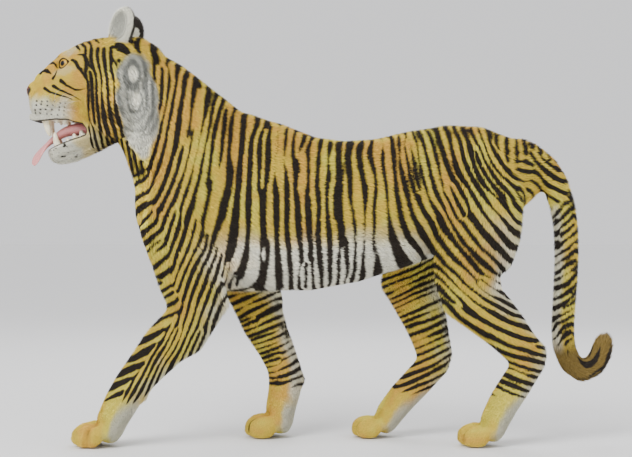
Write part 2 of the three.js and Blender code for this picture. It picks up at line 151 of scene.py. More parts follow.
def bones():
    """Every bone as (region, start, end, girth); the coat lies from its start to its end."""
    spine = [(0, -560, 990), (0, -420, 850), (0, -250, 770), (0, 60, 720), (0, 330, 760), (0, 560, 800)]
    rows = [("trunk", a, b, 190) for a, b in zip(spine, spine[1:])]
    rows += [
        ("head", (0, -880, 1050), (0, -760, 1070), 60),
        ("head", (0, -760, 1070), (0, -600, 1090), 110),
        ("jaw", (0, -800, 876), (0, -660, 930), 50),
    ]
    for name, leg in LEGS.items():
        chain = leg_points(leg)
        girths = (120, 80, 60, 50) if name.startswith("fore") else (130, 80, 55, 45)
        rows += [(name, a, b, girth) for a, b, girth in zip(chain, chain[1:], girths)]
    rows += [("tail", a, b, 42) for a, b in zip(TAIL, TAIL[1:])]
    return [(region, np.array(a, float), np.array(b, float), girth) for region, a, b, girth in rows]


def along_segment(points, a, b):
    """How far along the segment from a to b each point lies (0 to 1), and its distance from it."""
    line = b - a
    share = np.clip((points - a) @ line / (line @ line), 0, 1)
    return share, np.linalg.norm(points - (a + share[..., None] * line), axis=-1)


def along_chain(points, chain):
    """Length along a chain of points to the nearest place on it, and the distance from it."""
    best = np.full(points.shape[:-1], np.inf)
    length = np.zeros(points.shape[:-1])
    start = 0.0
    for a, b in zip(chain, chain[1:]):
        share, far = along_segment(points, a, b)
        nearer = far < best
        best = np.where(nearer, far, best)
        size = np.linalg.norm(b - a)
        length = np.where(nearer, start + share * size, length)
        start += size
    return length, best


# ---------------------------------------------------------------- the volume of flesh
HEAD = ["head", "ear_left", "ear_right", "lower_jaw", "neck"]
FLESH = [
    *HEAD, "trunk", "tail_base", "tail_middle", "tail_tip",
    *(f"{leg}_{part}" for leg in LEGS for part in ("upper", "lower", "paw")),
]
SEAL = 1.2         # widening that closes the parting cuts, taken off again afterwards
MARGIN = 16.0


def node_faces(names):
    """The points (anatomy millimetres) and triangles of several nodes as one."""
    points, triangles, start = [], [], 0
    for name in names:
        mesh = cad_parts[name].data
        mesh.calc_loop_triangles()
        places = np.empty(len(mesh.vertices) * 3)
        mesh.vertices.foreach_get("co", places)
        corners = np.empty(len(mesh.loop_triangles) * 3, np.int32)
        mesh.loop_triangles.foreach_get("vertices", corners)
        points.append(to_anatomy(places.reshape(-1, 3)))
        triangles.append(corners.reshape(-1, 3) + start)
        start += len(mesh.vertices)
    return np.concatenate(points).astype(np.float32), np.concatenate(triangles).astype(np.uint32)


def distances(names, low, high, voxel, reach):
    """Signed distance to some nodes on a regular grid, with the cuts between them closed."""
    points, triangles = node_faces(names)
    scale = openvdb.createLinearTransform(voxel)
    level = openvdb.FloatGrid.createLevelSetFromPolygons
    parted = level(points, triangles=triangles, transform=scale, halfWidth=3)
    shell, quads = parted.convertToQuads(isovalue=SEAL)
    sealed = level(shell, quads=quads, transform=scale, halfWidth=reach / voxel)
    first = np.floor(np.asarray(low) / voxel).astype(int)
    count = np.ceil(np.asarray(high) / voxel).astype(int) - first + 1
    values = np.empty(count, np.float32)
    sealed.copyToArray(values, ijk=tuple(int(i) for i in first))
    return values + SEAL, first * voxel


def blurred(values, sigma, voxel):
    """A Gaussian blur of a grid, by sigma millimetres."""
    reach = int(np.ceil(2.5 * sigma / voxel))
    kernel = np.exp(-0.5 * (np.arange(-reach, reach + 1) * voxel / sigma) ** 2)
    kernel = (kernel / kernel.sum()).astype(np.float32)
    for axis in range(3):
        padded = np.pad(values, [(reach, reach) if a == axis else (0, 0) for a in range(3)], mode="edge")
        size = values.shape[axis]
        total = np.zeros_like(values)
        for step, weight in enumerate(kernel):
            window = tuple(slice(step, step + size) if a == axis else slice(None) for a in range(3))
            total += weight * padded[window]
        values = total
    return values


def resampled(values, start, voxel, axes):
    """A regular grid read with cubic interpolation at the places where three axes cross."""
    for axis, places in enumerate(axes):
        where = np.clip((places - start[axis]) / voxel, 1, values.shape[axis] - 2.001)
        cell = np.floor(where).astype(int)
        t = (where - cell).astype(np.float32)
        weights = (
            -0.5 * t + t * t - 0.5 * t ** 3,
            1 - 2.5 * t * t + 1.5 * t ** 3,
            0.5 * t + 2 * t * t - 1.5 * t ** 3,
            -0.5 * t * t + 0.5 * t ** 3,
        )
        shape = [-1 if a == axis else 1 for a in range(3)]
        last = values.shape[axis] - 1
        values = sum(
            np.take(values, np.clip(cell + step, 0, last), axis=axis) * weight.reshape(shape)
            for step, weight in enumerate(weights, -1)
        )
    return values


def graded(low, high, coarse, fine_ranges):
    """Places from low to high, `coarse` apart, and closer in each (from, to, spacing) range."""
    places = [low]
    while places[-1] < high:
        here = places[-1]
        spacing = coarse
        for start, end, fine in fine_ranges:
            outside = max(start - here, here - end, 0)
            spacing = min(spacing, fine + 0.25 * outside)
        places.append(here + spacing)
    return np.array(places)


class Flesh:
    """The volume that the skin is drawn around: negative inside, in millimetres from the surface."""

    def __init__(self, axes, values):
        self.axes = axes
        self.values = values

    def room(self, low, high):
        """The part of the grid between two corners: its slices and the places of its points."""
        cut = tuple(
            slice(max(np.searchsorted(places, a) - 1, 0), np.searchsorted(places, b) + 1)
            for places, a, b in zip(self.axes, low, high)
        )
        grids = np.meshgrid(*(places[c] for places, c in zip(self.axes, cut)), indexing="ij")
        return cut, np.stack(grids, -1)

    def swell(self, line, radius, amount, mirror=True):
        """Raises (or with a negative amount lowers) the surface along a line, by a soft ridge."""
        line = np.atleast_2d(np.array(line, float))
        radii = np.broadcast_to(np.asarray(radius, float), len(line))
        for side in SIDES if mirror else (1,):
            path = line * (side, 1, 1)
            reach = 2.2 * radii.max()
            cut, places = self.room(path.min(0) - reach, path.max(0) + reach)
            if len(path) == 1:
                near = np.linalg.norm(places - path[0], axis=-1) / radii[0]
            else:
                near = np.full(places.shape[:-1], np.inf)
                for a, b, ra, rb in zip(path, path[1:], radii, radii[1:]):
                    share, far = along_segment(places, a, b)
                    near = np.minimum(near, far / (ra + (rb - ra) * share))
            self.values[cut] -= amount * np.exp(-near * near)

    def shape(self, low, high, make, soft=0.0, carve=False, mirror=True):
        """Joins on, or carves out, the solid whose signed distance is make(places)."""
        for side in SIDES if mirror else (1,):
            a, b = np.array(low, float), np.array(high, float)
            if side < 0:
                a[0], b[0] = -b[0], -a[0]
            cut, places = self.room(a, b)
            other = make(places * (side, 1, 1))
            mine = self.values[cut]
            if carve:
                self.values[cut] = -soft_least(-mine, other, soft)
            else:
                self.values[cut] = soft_least(mine, other, soft)


def soft_least(a, b, soft):
    """The lesser of two distances, rounded off where they are within `soft` of each other."""
    if not soft:
        return np.minimum(a, b)
    share = np.maximum(soft - np.abs(a - b), 0) / soft
    return np.minimum(a, b) - share * share * soft / 4


def ellipsoid(places, centre, radii, turn=None):
    """About the signed distance to an ellipsoid, turned by a matrix if one is given."""
    local = places - np.asarray(centre, float)
    if turn is not None:
        local = local @ turn
    radii = np.asarray(radii, float)
    scaled = np.linalg.norm(local / radii, axis=-1)
    slope = np.linalg.norm(local / radii ** 2, axis=-1)
    return np.where(scaled > 1e-6, scaled * (scaled - 1) / np.maximum(slope, 1e-9), -radii.min())


def tube(line, radius):
    """The signed distance to a tube along a line of points, for Flesh.shape."""
    line = np.array(line, float)
    radii = np.broadcast_to(np.asarray(radius, float), len(line))

    def distance(places):
        nearest = np.full(places.shape[:-1], np.inf)
        for a, b, ra, rb in zip(line, line[1:], radii, radii[1:]):
            share, far = along_segment(places, a, b)
            nearest = np.minimum(nearest, far - ra - (rb - ra) * share)
        return nearest

    return distance


def coat_depth(y, z):
    """How far the skin lies under the tips of the coat: little on the face and the feet."""
    behind_face = (y + 1000) * 0.5 - (z - 1100) * 0.15
    depth = blend(2.2, 9.0, smooth(behind_face, 85, 190))
    return np.where(z < 700, np.minimum(depth, blend(3.0, 9.0, smooth(z, 60, 460))), depth)


def body_grid():
    """The grid's corners and its three axes, fine over the head and finest round the eyes."""
    low = to_anatomy(cad_box[0]) - MARGIN
    high = to_anatomy(cad_box[1]) + MARGIN
    return low, high, (
        graded(low[0], high[0], 4.8, [(-84, 84, 2.4)]),
        graded(low[1], high[1], 8.5, [(-915, -570, 3.0), (EYE[1] - 32, EYE[1] + 22, 1.8)]),
        graded(low[2], high[2], 9.0, [(850, 1290, 3.0), (EYE[2] - 22, EYE[2] + 22, 1.8), (0, 90, 4.0)]),
    )


BODY_VOXEL = 5.0
BODY_REACH = 34.0      # how far from the surface distances are kept
BODY_BLUR = 11.0       # rounds off the solids' facets and the steps between them
PAW_BLUR = 5.0
HEAD_VOXEL = 2.6
HEAD_REACH = 18.0
HEAD_BLUR = 4.2
HEAD_ROOM = ((-170, -930, 800), (170, -500, 1300))


def make_flesh():
    """The solids of flesh as one volume, with the head read more finely, less the coat's depth."""
    low, high, axes = body_grid()
    body, start = distances(FLESH, low, high, BODY_VOXEL, BODY_REACH)
    soft = blurred(body, BODY_BLUR, BODY_VOXEL)
    tight = blurred(body, PAW_BLUR, BODY_VOXEL)
    heights = start[2] + np.arange(body.shape[2]) * BODY_VOXEL
    body = blend(tight, soft, smooth(heights, 70, 180).astype(np.float32))
    values = resampled(body, start, BODY_VOXEL, axes)
    head, start = distances(HEAD, *HEAD_ROOM, HEAD_VOXEL, HEAD_REACH)
    head = blurred(head, HEAD_BLUR, HEAD_VOXEL)
    cut = tuple(
        slice(np.searchsorted(places, a + 8), np.searchsorted(places, b - 8))
        for places, a, b in zip(axes, *HEAD_ROOM)
    )
    own_axes = [places[c] for places, c in zip(axes, cut)]
    head = resampled(head, start, HEAD_VOXEL, own_axes)

    # the finer head gives way to the body over a slanting plane through the neck, and under the chin
    y, z = np.meshgrid(own_axes[1], own_axes[2], indexing="ij")
    behind = (y + 552) * 0.939 - (z - 1035) * 0.343
    share = smooth(behind, -70, -5) + smooth(z, 835, 815)
    values[cut] = blend(head, values[cut], np.clip(share, 0, 1)[None].astype(np.float32))
    values += coat_depth(axes[1][:, None], axes[2][None, :])[None].astype(np.float32)
    return Flesh(axes, values)


def skin_faces(flesh):
    """The skin as points (anatomy millimetres) and quads, without stray pieces."""
    clip = 12.0
    grid = openvdb.FloatGrid(clip)
    grid.copyFromArray(np.clip(flesh.values, -clip, clip).astype(np.float32))
    points, quads = grid.convertToQuads(isovalue=0.0)
    points = np.stack([
        np.interp(points[:, i], np.arange(len(places)), places) for i, places in enumerate(flesh.axes)
    ], -1)
    quads = quads.astype(np.int64)

    # points that share a quad come to share a label, and the commonest label is the skin
    label = np.arange(len(points))
    while True:
        least = label[quads].min(1)
        new = label.copy()
        for corner in range(4):
            np.minimum.at(new, quads[:, corner], least)
        new = new[new]
        if (new == label).all():
            break
        label = new
    main = np.bincount(label).argmax()
    quads = quads[label[quads[:, 0]] == main]
    used, inverse = np.unique(quads, return_inverse=True)
    return points[used], inverse.reshape(-1, 4)


def add_object(name, data):
    """A new object in the scene."""
    made = bpy.data.objects.new(name, data)
    bpy.context.scene.collection.objects.link(made)
    return made


def make_mesh(name, points, faces, material=None, smooth_shaded=True):
    """A new piece from points in anatomy millimetres and faces with equal numbers of corners."""
    mesh = bpy.data.meshes.new(name)
    faces = np.asarray(faces, np.int32)
    mesh.vertices.add(len(points))
    mesh.vertices.foreach_set("co", to_frame(points).astype(np.float32).ravel())
    mesh.loops.add(faces.size)
    mesh.loops.foreach_set("vertex_index", faces.ravel())
    mesh.polygons.add(len(faces))
    mesh.polygons.foreach_set("loop_start", np.arange(0, faces.size, faces.shape[1], dtype=np.int32))
    mesh.update(calc_edges=True)
    if smooth_shaded:
        mesh.polygons.foreach_set("use_smooth", np.ones(len(faces), bool))
    if material:
        mesh.materials.append(material)
    return add_object(name, mesh)


def set_attribute(piece, name, values):
    """Gives a piece a number or a vector for each of its points."""
    values = np.asarray(values, np.float32)
    kind, field = ("FLOAT", "value") if values.ndim == 1 else ("FLOAT_VECTOR", "vector")
    attribute = piece.data.attributes.new(name, kind, "POINT")
    attribute.data.foreach_set(field, values.ravel())


# ---------------------------------------------------------------- sculpting
EYE_AHEAD = unit(np.array([0.79, -0.60, 0.11]))
EYE_SLANT = np.radians(14)
GAZE_TURN = -0.1        # how far the iris looks forward of the middle of the lids; below 0, outwards
OPENING = (21.6, 13.2, 11.4)       # half the opening's length, and its height above and below
LID = 3.4


def eye_axes():
    """The left eye's own axes: towards its outer corner, up, and the way it looks."""
    level = unit(np.cross((0, 0, 1), EYE_AHEAD))
    upright = np.cross(EYE_AHEAD, level)
    outer = np.cos(EYE_SLANT) * level + np.sin(EYE_SLANT) * upright
    return outer, np.cos(EYE_SLANT) * upright - np.sin(EYE_SLANT) * level, EYE_AHEAD


def eye_opening(places):
    """The almond between the lids: negative where the eyeball shows."""
    outer, up, ahead = eye_axes()
    local = places - EYE
    half_length, above, below_middle = OPENING
    height = local @ up
    lens = 1 - (local @ outer / half_length) ** 2
    lids = np.maximum(height - above * lens, -height - below_middle * lens)
    return np.maximum(lids, 4 - local @ ahead)


def sculpt_eyes(flesh):
    """Brow and lids round each eyeball, with room for it behind them."""
    outer, up, ahead = eye_axes()
    near = EYE - 56, EYE + 56
    flesh.swell([EYE + 31 * up - 14 * outer, EYE + 30 * up + 14 * outer + 2 * ahead], 14, 7)
    flesh.swell([EYE - 30 * up - 6 * outer, EYE - 25 * up + 24 * outer], 14, 3)
    flesh.swell([EYE - 38 * outer - 8 * up + 6 * ahead, (44, -830, 1088), (52, -848, 1060)], 12, -5)

    def hollow(places):
        turn = np.stack([outer, up, ahead], -1)
        return ellipsoid(places, EYE + 23 * ahead + 2 * outer, (26, 17, 14), turn)

    def lids(places):
        from_centre = np.linalg.norm(places - EYE, axis=-1)
        shell = np.maximum(from_centre - EYE_RADIUS - LID, EYE_RADIUS - 4 - from_centre)
        return np.maximum(shell, -eye_opening(places))

    def in_front(places):
        return np.maximum(eye_opening(places), np.linalg.norm(places - EYE, axis=-1) - 2 * EYE_RADIUS)

    def ball(places):
        return np.linalg.norm(places - EYE, axis=-1) - EYE_RADIUS - 0.3

    flesh.shape(*near, hollow, soft=10, carve=True)
    flesh.shape(*near, lids, soft=8)
    flesh.shape(*near, in_front, soft=1.5, carve=True)
    flesh.shape(*near, ball, carve=True)


NOSE_PAD = np.array([0.0, -884.0, 1050.0])
NOSTRIL = np.array([
    (8, -909, 1045), (12, -907, 1052), (20, -902, 1056), (27, -893, 1053), (30, -882, 1048),
], float)


def sculpt_nose(flesh):
    """The nose pad with its nostrils and the groove under it, and the bridge behind it."""
    low, high = (-60, -940, 1000), (60, -850, 1120)

    def pad(places):
        return ellipsoid(places, NOSE_PAD, (31, 24, 19))

    flesh.swell([(0, -903, 1084), (0, -880, 1096)], 20, -4, mirror=False)
    flesh.shape(low, high, pad, soft=12, mirror=False)
    flesh.swell([(22, -896, 1057), (27, -886, 1062)], 9, 3.5)
    nostril = tube(NOSTRIL, (2.5, 4.6, 5.4, 3.4, 1.4))
    flesh.shape((0, *low[1:]), high, nostril, soft=3, carve=True)
    groove = [(0, -912, 1046), (0, -908, 1030), (0, -899, 1006), (0, -890, 985)]
    flesh.swell(groove, 4.5, -4.5, mirror=False)
    flesh.swell([(0, -868, 1092), (0, -830, 1116), (0, -790, 1140)], 18, 3, mirror=False)
    flesh.swell([(30, -866, 1082), (34, -834, 1098)], 11, -3)


UPPER_LIP = np.array([
    (64, -738, 955), (60, -776, 966), (57, -812, 968), (51, -846, 966), (35, -872, 965), (15, -886, 968),
    (0, -889, 972),
], float)
# the lines of the lower jaw are written with the mouth closed
LOWER_LIP = np.array([
    (66, -742, 950), (58, -786, 953), (50, -822, 956), (41, -848, 957), (24, -866, 958), (0, -872, 958),
], float)
UNDER_LIP = np.array([
    (50, -752, 942), (46, -800, 942), (38, -840, 944), (29, -862, 944), (14, -872, 946),
], float)


def opened(points):
    """Swings points of the closed lower jaw open about its hinge."""
    swing = np.array(Matrix.Rotation(JAW_OPEN, 3, "X"))
    return (points - HINGE) @ swing.T + HINGE


def sculpt_muzzle(flesh):
    """Whisker pads, cheeks, brow, lips and the corners of the mouth."""
    flesh.swell([(40, -864, 1020), (54, -838, 1010)], (26, 32), 5)
    flesh.swell([(34, -872, 990), (54, -836, 984)], 18, 4)
    flesh.swell([(60, -812, 1060), (80, -784, 1018), (86, -762, 985)], 20, -6)
    flesh.swell([(94, -742, 1060), (114, -700, 1040)], 30, 6)
    flesh.swell([(0, -752, 1190), (0, -700, 1210)], 14, -3, mirror=False)
    flesh.swell([(34, -740, 1190), (46, -690, 1205)], 26, 3)
    upper = tube(UPPER_LIP, (6, 8, 9, 10, 10, 9, 8))
    lower = tube(opened(LOWER_LIP), (6, 7.5, 8, 8, 8, 8))
    cheek = tube([(60, -738, 968), (57, -772, 977), (53, -808, 978), (48, -838, 978)], (12, 12, 11, 10))
    under_lip = tube(opened(UNDER_LIP), (11, 11, 10, 10, 9))
    flesh.shape((-10, -910, 930), (90, -700, 1010), cheek, soft=10)
    flesh.shape((-10, -910, 930), (90, -720, 1000), upper, soft=9)
    flesh.shape((-10, -910, 790), (90, -680, 970), under_lip, soft=10)
    flesh.shape((-10, -910, 800), (90, -690, 970), lower, soft=9)
    corner = tube([(62, -756, 961), (67, -728, 955), (71, -708, 936), (66, -709, 914)], (7, 8, 9, 8))
    fold = tube([(66, -722, 978), (72, -698, 966), (74, -688, 940), (66, -690, 912)], (13, 15, 14, 12))
    flesh.shape((-10, -910, 860), (110, -640, 1010), fold, soft=14)
    flesh.shape((-10, -910, 860), (110, -660, 1000), corner, soft=8)
    flesh.swell([(98, -704, 1005), (100, -688, 965)], 34, 7)
    flesh.swell([(22, -818, 836), (0, -826, 838)], 20, 5)


def ear_shape(places):
    """The left ear: a rounded cup, open to the front."""
    outer = ellipsoid(places, EAR, EAR_RADII, EAR_TURN)
    cup = ellipsoid(places, EAR - 19.5 * EAR_TURN[:, 1], (39, 27, 50), EAR_TURN)
    return -soft_least(-outer, cup, 6)


def sculpt_ears(flesh):
    """Each ear on a broad foot, with the hollow that leads into it."""
    room = (10, -690, 1130), (170, -530, 1300)
    foot = tube([(52, -612, 1176), (80, -602, 1182), (100, -606, 1174)], (15, 19, 13))
    flesh.shape(*room, foot, soft=16)
    flesh.shape(*room, ear_shape, soft=16)
    flesh.swell([(92, -640, 1186), (108, -628, 1188)], 13, 3)
    flesh.swell([(84, -634, 1200)], 14, -6)


def sculpt_body(flesh):
    """Shoulder blade, the hollow behind it, elbow, flank, thigh, hip, and the line of the spine."""
    flesh.swell([(62, -330, 965), (104, -400, 850), (126, -470, 700)], (40, 60, 60), 8)
    flesh.swell([(120, -270, 900), (158, -290, 760), (160, -285, 600)], 46, -8)
    flesh.swell([(150, -390, 560), (140, -380, 470)], 56, 6)
    flesh.swell([(150, 250, 700), (130, 240, 600)], 62, -9)
    flesh.swell([(120, 400, 800), (140, 430, 640)], (80, 90), 7)
    flesh.swell([(70, 380, 905), (60, 440, 915)], 44, 5)
    flesh.swell([(0, -300, 1010), (0, 0, 930), (0, 300, 950)], 26, -2, mirror=False)
    flesh.swell([(34, -330, 990), (30, -240, 975)], 40, 5)


TOE_STEP = 37.3152     # from one gap between the toes to the next
# the crease beside the outer toe: outwards from the leg's middle, ahead of the foot's joint, and up
CREASE = ((50, 28, 72), (61, 43, 50), (65, 50, 26), (62, 49, 4))
# the grooves between the toes: ahead of the foot's joint, and up
GROOVE = ((34, 78), (78, 66), (112, 34), (116, 6))


def toe_gaps(leg):
    """How far to the side the three gaps between a paw's toes lie."""
    middle = leg["side"] * (leg["apart"] - 4)
    return middle - TOE_STEP, middle, middle + TOE_STEP


def crease(leg):
    """The line between the outer toe and the next one, on the outer side of a paw."""
    x, y, _ = leg_points(leg)[-2]
    return np.array([(x + leg["side"] * out, y - ahead, z) for out, ahead, z in CREASE])


def sculpt_legs(flesh):
    """Hollows on both sides of the sinew above each foot, and the grooves between the toes."""
    for leg in LEGS.values():
        _, middle, low, foot, _ = leg_points(leg)
        for x in (-26, 26):
            hollow = [middle * 0.45 + low * 0.55 + (x, 44, 10), low + (x, 14, 34)]
            flesh.swell(hollow, 20, -7, mirror=False)
        for x in toe_gaps(leg):
            flesh.swell([(x, foot[1] - ahead, z) for ahead, z in GROOVE], 7.5, -12, mirror=False)
        flesh.swell(crease(leg), 8, -12, mirror=False)


# ---------------------------------------------------------------- regions, the lie of the coat
def diagonal_cross(points, quads):
    """Along each quad's normal, twice its area."""
    corners = points[quads]
    return np.cross(corners[:, 2] - corners[:, 0], corners[:, 3] - corners[:, 1])


def point_normals(points, quads):
    """The unit normal at each point of a mesh of quads."""
    across = diagonal_cross(points, quads)
    normals = np.zeros_like(points)
    for corner in range(4):
        for axis in range(3):
            normals[:, axis] += np.bincount(quads[:, corner], across[:, axis], len(points))
    return unit(normals)


REGIONS = ["trunk", "head", "jaw", *LEGS, "tail"]


def mirrored(points):
    """The points with their right half folded over to the left."""
    return np.column_stack([np.abs(points[:, 0]), points[:, 1:]])


def ear_place(points):
    """Each point in its ear's own axes: outwards, to the ear's front, to its tip."""
    local = (mirrored(points) - EAR) @ EAR_TURN
    return local[:, 0], -local[:, 1], local[:, 2]


def on_ear(points):
    """1 on an ear, 0 away from it."""
    across, ahead, up = ear_place(points)
    inside = np.hypot(np.hypot(across / 52, up / 64), ahead / 34)
    return smooth(inside, 1.08, 0.96) * smooth(up, -46, -30)


class Places:
    """What is known of a set of points on the skin: shares of the regions and the lie of the coat."""

    def __init__(self, points, normals):
        self.points = points
        self.normals = normals
        pulls = {region: 0 for region in REGIONS}
        lie = 0
        for region, a, b, girth in bones():
            far = along_segment(points, a, b)[1]
            pull = (girth / (far + 5)) ** 6
            way = unit(b - a)
            if region == "trunk":
                way = way + np.array([0, 0, -0.25])
            pulls[region] = pulls[region] + pull
            if region == "head":
                way = unit(points - NOSE - (0, -25, -20))
            lie = lie + pull[:, None] * way
        total = sum(pulls.values())
        self.share = {region: pull / total for region, pull in pulls.items()}
        self.ear = on_ear(points)
        foot = (EAR - 60 * EAR_TURN[:, 2]) * np.where(points[:, :1] > 0, 1, (-1, 1, 1))
        lie = blend(unit(lie), unit(points - foot), self.ear[:, None])
        lie = lie + 0.16 * np.column_stack([noise(points, 120, 31 + axis) for axis in range(3)])
        self.lie = unit(lie - normals * (lie * normals).sum(1)[:, None])
        self.legs = sum(self.share[leg] for leg in LEGS)
        y, z = points[:, 1], points[:, 2]
        self.face = smooth(y + 0.25 * (z - 1060), -585, -622) * smooth(z, 770, 820)

    def folded_normals(self):
        """The normals, with those of the right half folded over to the left."""
        return np.where(self.points[:, :1] > 0, 1, (-1, 1, 1)) * self.normals


# ---------------------------------------------------------------- markings
def srgb(red, green, blue):
    """A colour from 0 to 255 as the shader's linear values."""
    return (np.array([red, green, blue]) / 255) ** 2.2


BLACK = srgb(46, 40, 34)
OCHRE = srgb(230, 200, 76)
LEMON = srgb(231, 216, 88)
TAN = srgb(228, 182, 78)
WHITE = srgb(230, 228, 210)
GREY = srgb(184, 184, 172)
SLATE = srgb(104, 106, 102)
OLIVE = srgb(132, 110, 58)
LEATHER = srgb(168, 104, 90)
GUM = srgb(150, 84, 80)
STRIPE_STEP = 31.0

CLEAR = -5.0           # a black field this low leaves the ground free
NO_MARK = -9.0         # what a mark counts for where it isn't wanted

FACE_AXIS_Z = 1060.0
# strokes of the left side of the face: (y, degrees round the head from its top), and half widths
FACE_STROKES = [
    # over the brow, from the crown's middle line down and back towards the eye
    ([(-868, 3), (-862, 20), (-852, 37), (-841, 50), (-826, 61)], (4.6, 6.4, 6.2, 5.0, 1.6)),
    ([(-846, 3), (-839, 16), (-828, 30), (-811, 43)], (4.6, 6.4, 5.6, 1.6)),
    ([(-823, 14), (-814, 22), (-801, 30)], (6.0, 4.4, 1.4)),
    ([(-814, 2), (-806, 9), (-795, 17), (-780, 22)], (3.4, 4.6, 4.4, 1.4)),
    ([(-786, 2), (-774, 10), (-756, 17), (-744, 28), (-738, 40)], (3.4, 4.4, 4.8, 4.2, 1.4)),
    ([(-762, 2), (-750, 12), (-734, 22), (-722, 36), (-716, 50)], (3.8, 4.8, 5.2, 4.6, 2.2)),
    ([(-740, 2), (-728, 14), (-712, 26), (-701, 40)], (3.8, 5.0, 5.4, 2.6)),
    ([(-717, 2), (-705, 14), (-690, 26), (-680, 36)], (4.0, 5.4, 5.2, 2.4)),
    ([(-694, 2), (-682, 15), (-668, 26)], (4.0, 5.4, 2.4)),
    ([(-670, 2), (-659, 14), (-644, 24)], (4.2, 5.6, 2.4)),
    ([(-645, 2), (-634, 13), (-620, 20)], (4.2, 5.6, 2.6)),
    # from the outer corner of the eye, and the comma under its inner corner
    ([(-758, 49), (-742, 55), (-724, 66), (-716, 80)], (3.2, 4.2, 4.6, 1.6)),
    ([(-746, 44), (-728, 47), (-710, 56), (-700, 68)], (1.4, 3.8, 4.6, 2.0)),
    ([(-806, 59), (-812, 66), (-818, 71)], (1.8, 2.8, 4.6)),
    # three commas on the cheek
    ([(-840, 96), (-822, 106), (-796, 115), (-758, 120)], (5.2, 3.4, 2.8, 1.0)),
    ([(-815, 90), (-798, 101), (-772, 109), (-734, 114)], (5.4, 3.6, 3.0, 1.0)),
    ([(-794, 80), (-778, 91), (-752, 97), (-718, 96)], (5.6, 3.8, 3.2, 1.2)),
]


def stroke_field(points, strokes):
    """How far inside the strokes each point lies, in millimetres (negative outside)."""
    x, y, z = points.T
    rise = z - FACE_AXIS_Z
    radius = np.maximum(np.hypot(x, rise), 20)
    side = np.where(x > 0, 0, 900.0)
    shift = np.column_stack([x + side, y, z])
    y = y + 4.5 * noise(shift, 46, 11)
    turn = np.degrees(np.arctan2(np.abs(x), rise)) + 3.0 * noise(shift, 46, 12)
    best = np.full(len(points), -60.0)
    for line, widths in strokes:
        for (y0, t0), (y1, t1), w0, w1 in zip(line, line[1:], widths, widths[1:]):
            scale = np.radians(1) * radius
            dy, dt = (y1 - y0), (t1 - t0) * scale
            py, pt = y - y0, (turn - t0) * scale
            share = np.clip((py * dy + pt * dt) / (dy * dy + dt * dt), 0, 1)
            far = np.hypot(py - share * dy, pt - share * dt)
            best = np.maximum(best, w0 + (w1 - w0) * share - far)
    return best


def stripes(phase, along, across, step, sway):
    """Wavy, forking stripes across a phase in millimetres, as phasors, and how much they swell."""
    where = np.column_stack([phase, along, across])
    phase = phase + sway * (9 * noise(where, (110, 150, 130), 1) + 3 * noise(where, (40, 55, 60), 2))
    broad = np.exp(2j * np.pi * phase / step)
    narrow = np.exp(2j * np.pi * (phase / (step * 0.78) + 0.2))
    forked = blend(broad, narrow, smooth(noise(where, (85, 130, 110), 3), -0.25, 0.25))
    return forked, 0.72 * noise(where, (22, 80, 70), 4) + 0.12 * noise(where, (12, 22, 22), 5)


def wave_field(families, across, step=STRIPE_STEP, black=0.0, sway=1.0):
    """The stripes of several (weight, phase, along) families, joined by forks; positive in the black."""
    phasors = np.zeros(len(across), complex)
    swelling = np.zeros(len(across))
    for weight, phase, along in families:
        weight = np.broadcast_to(weight, len(across))
        near = weight > 0.01
        forked, swell = stripes(phase[near], along[near], across[near], step, sway)
        phasors[near] += weight[near] * forked
        swelling[near] += weight[near] * swell
    strength = np.abs(phasors)
    wave = phasors.real / np.maximum(strength, 0.15)
    gap = 0.8 * smooth(strength, 0.3, 0.08)
    return (wave + swelling + black - gap) * step / (2 * np.pi)


def below(z, level, soft=60.0):
    """How far each height lies below a level, easing in softly."""
    return soft * np.logaddexp(0, (level - z) / soft)


# the front edge of the near foreleg, chest and neck from the side, as (z, y)
FRONT_EDGE = np.array([
    (44, -700), (172, -640), (300, -545), (400, -478), (560, -509), (760, -570), (862, -595), (960, -615),
], float)


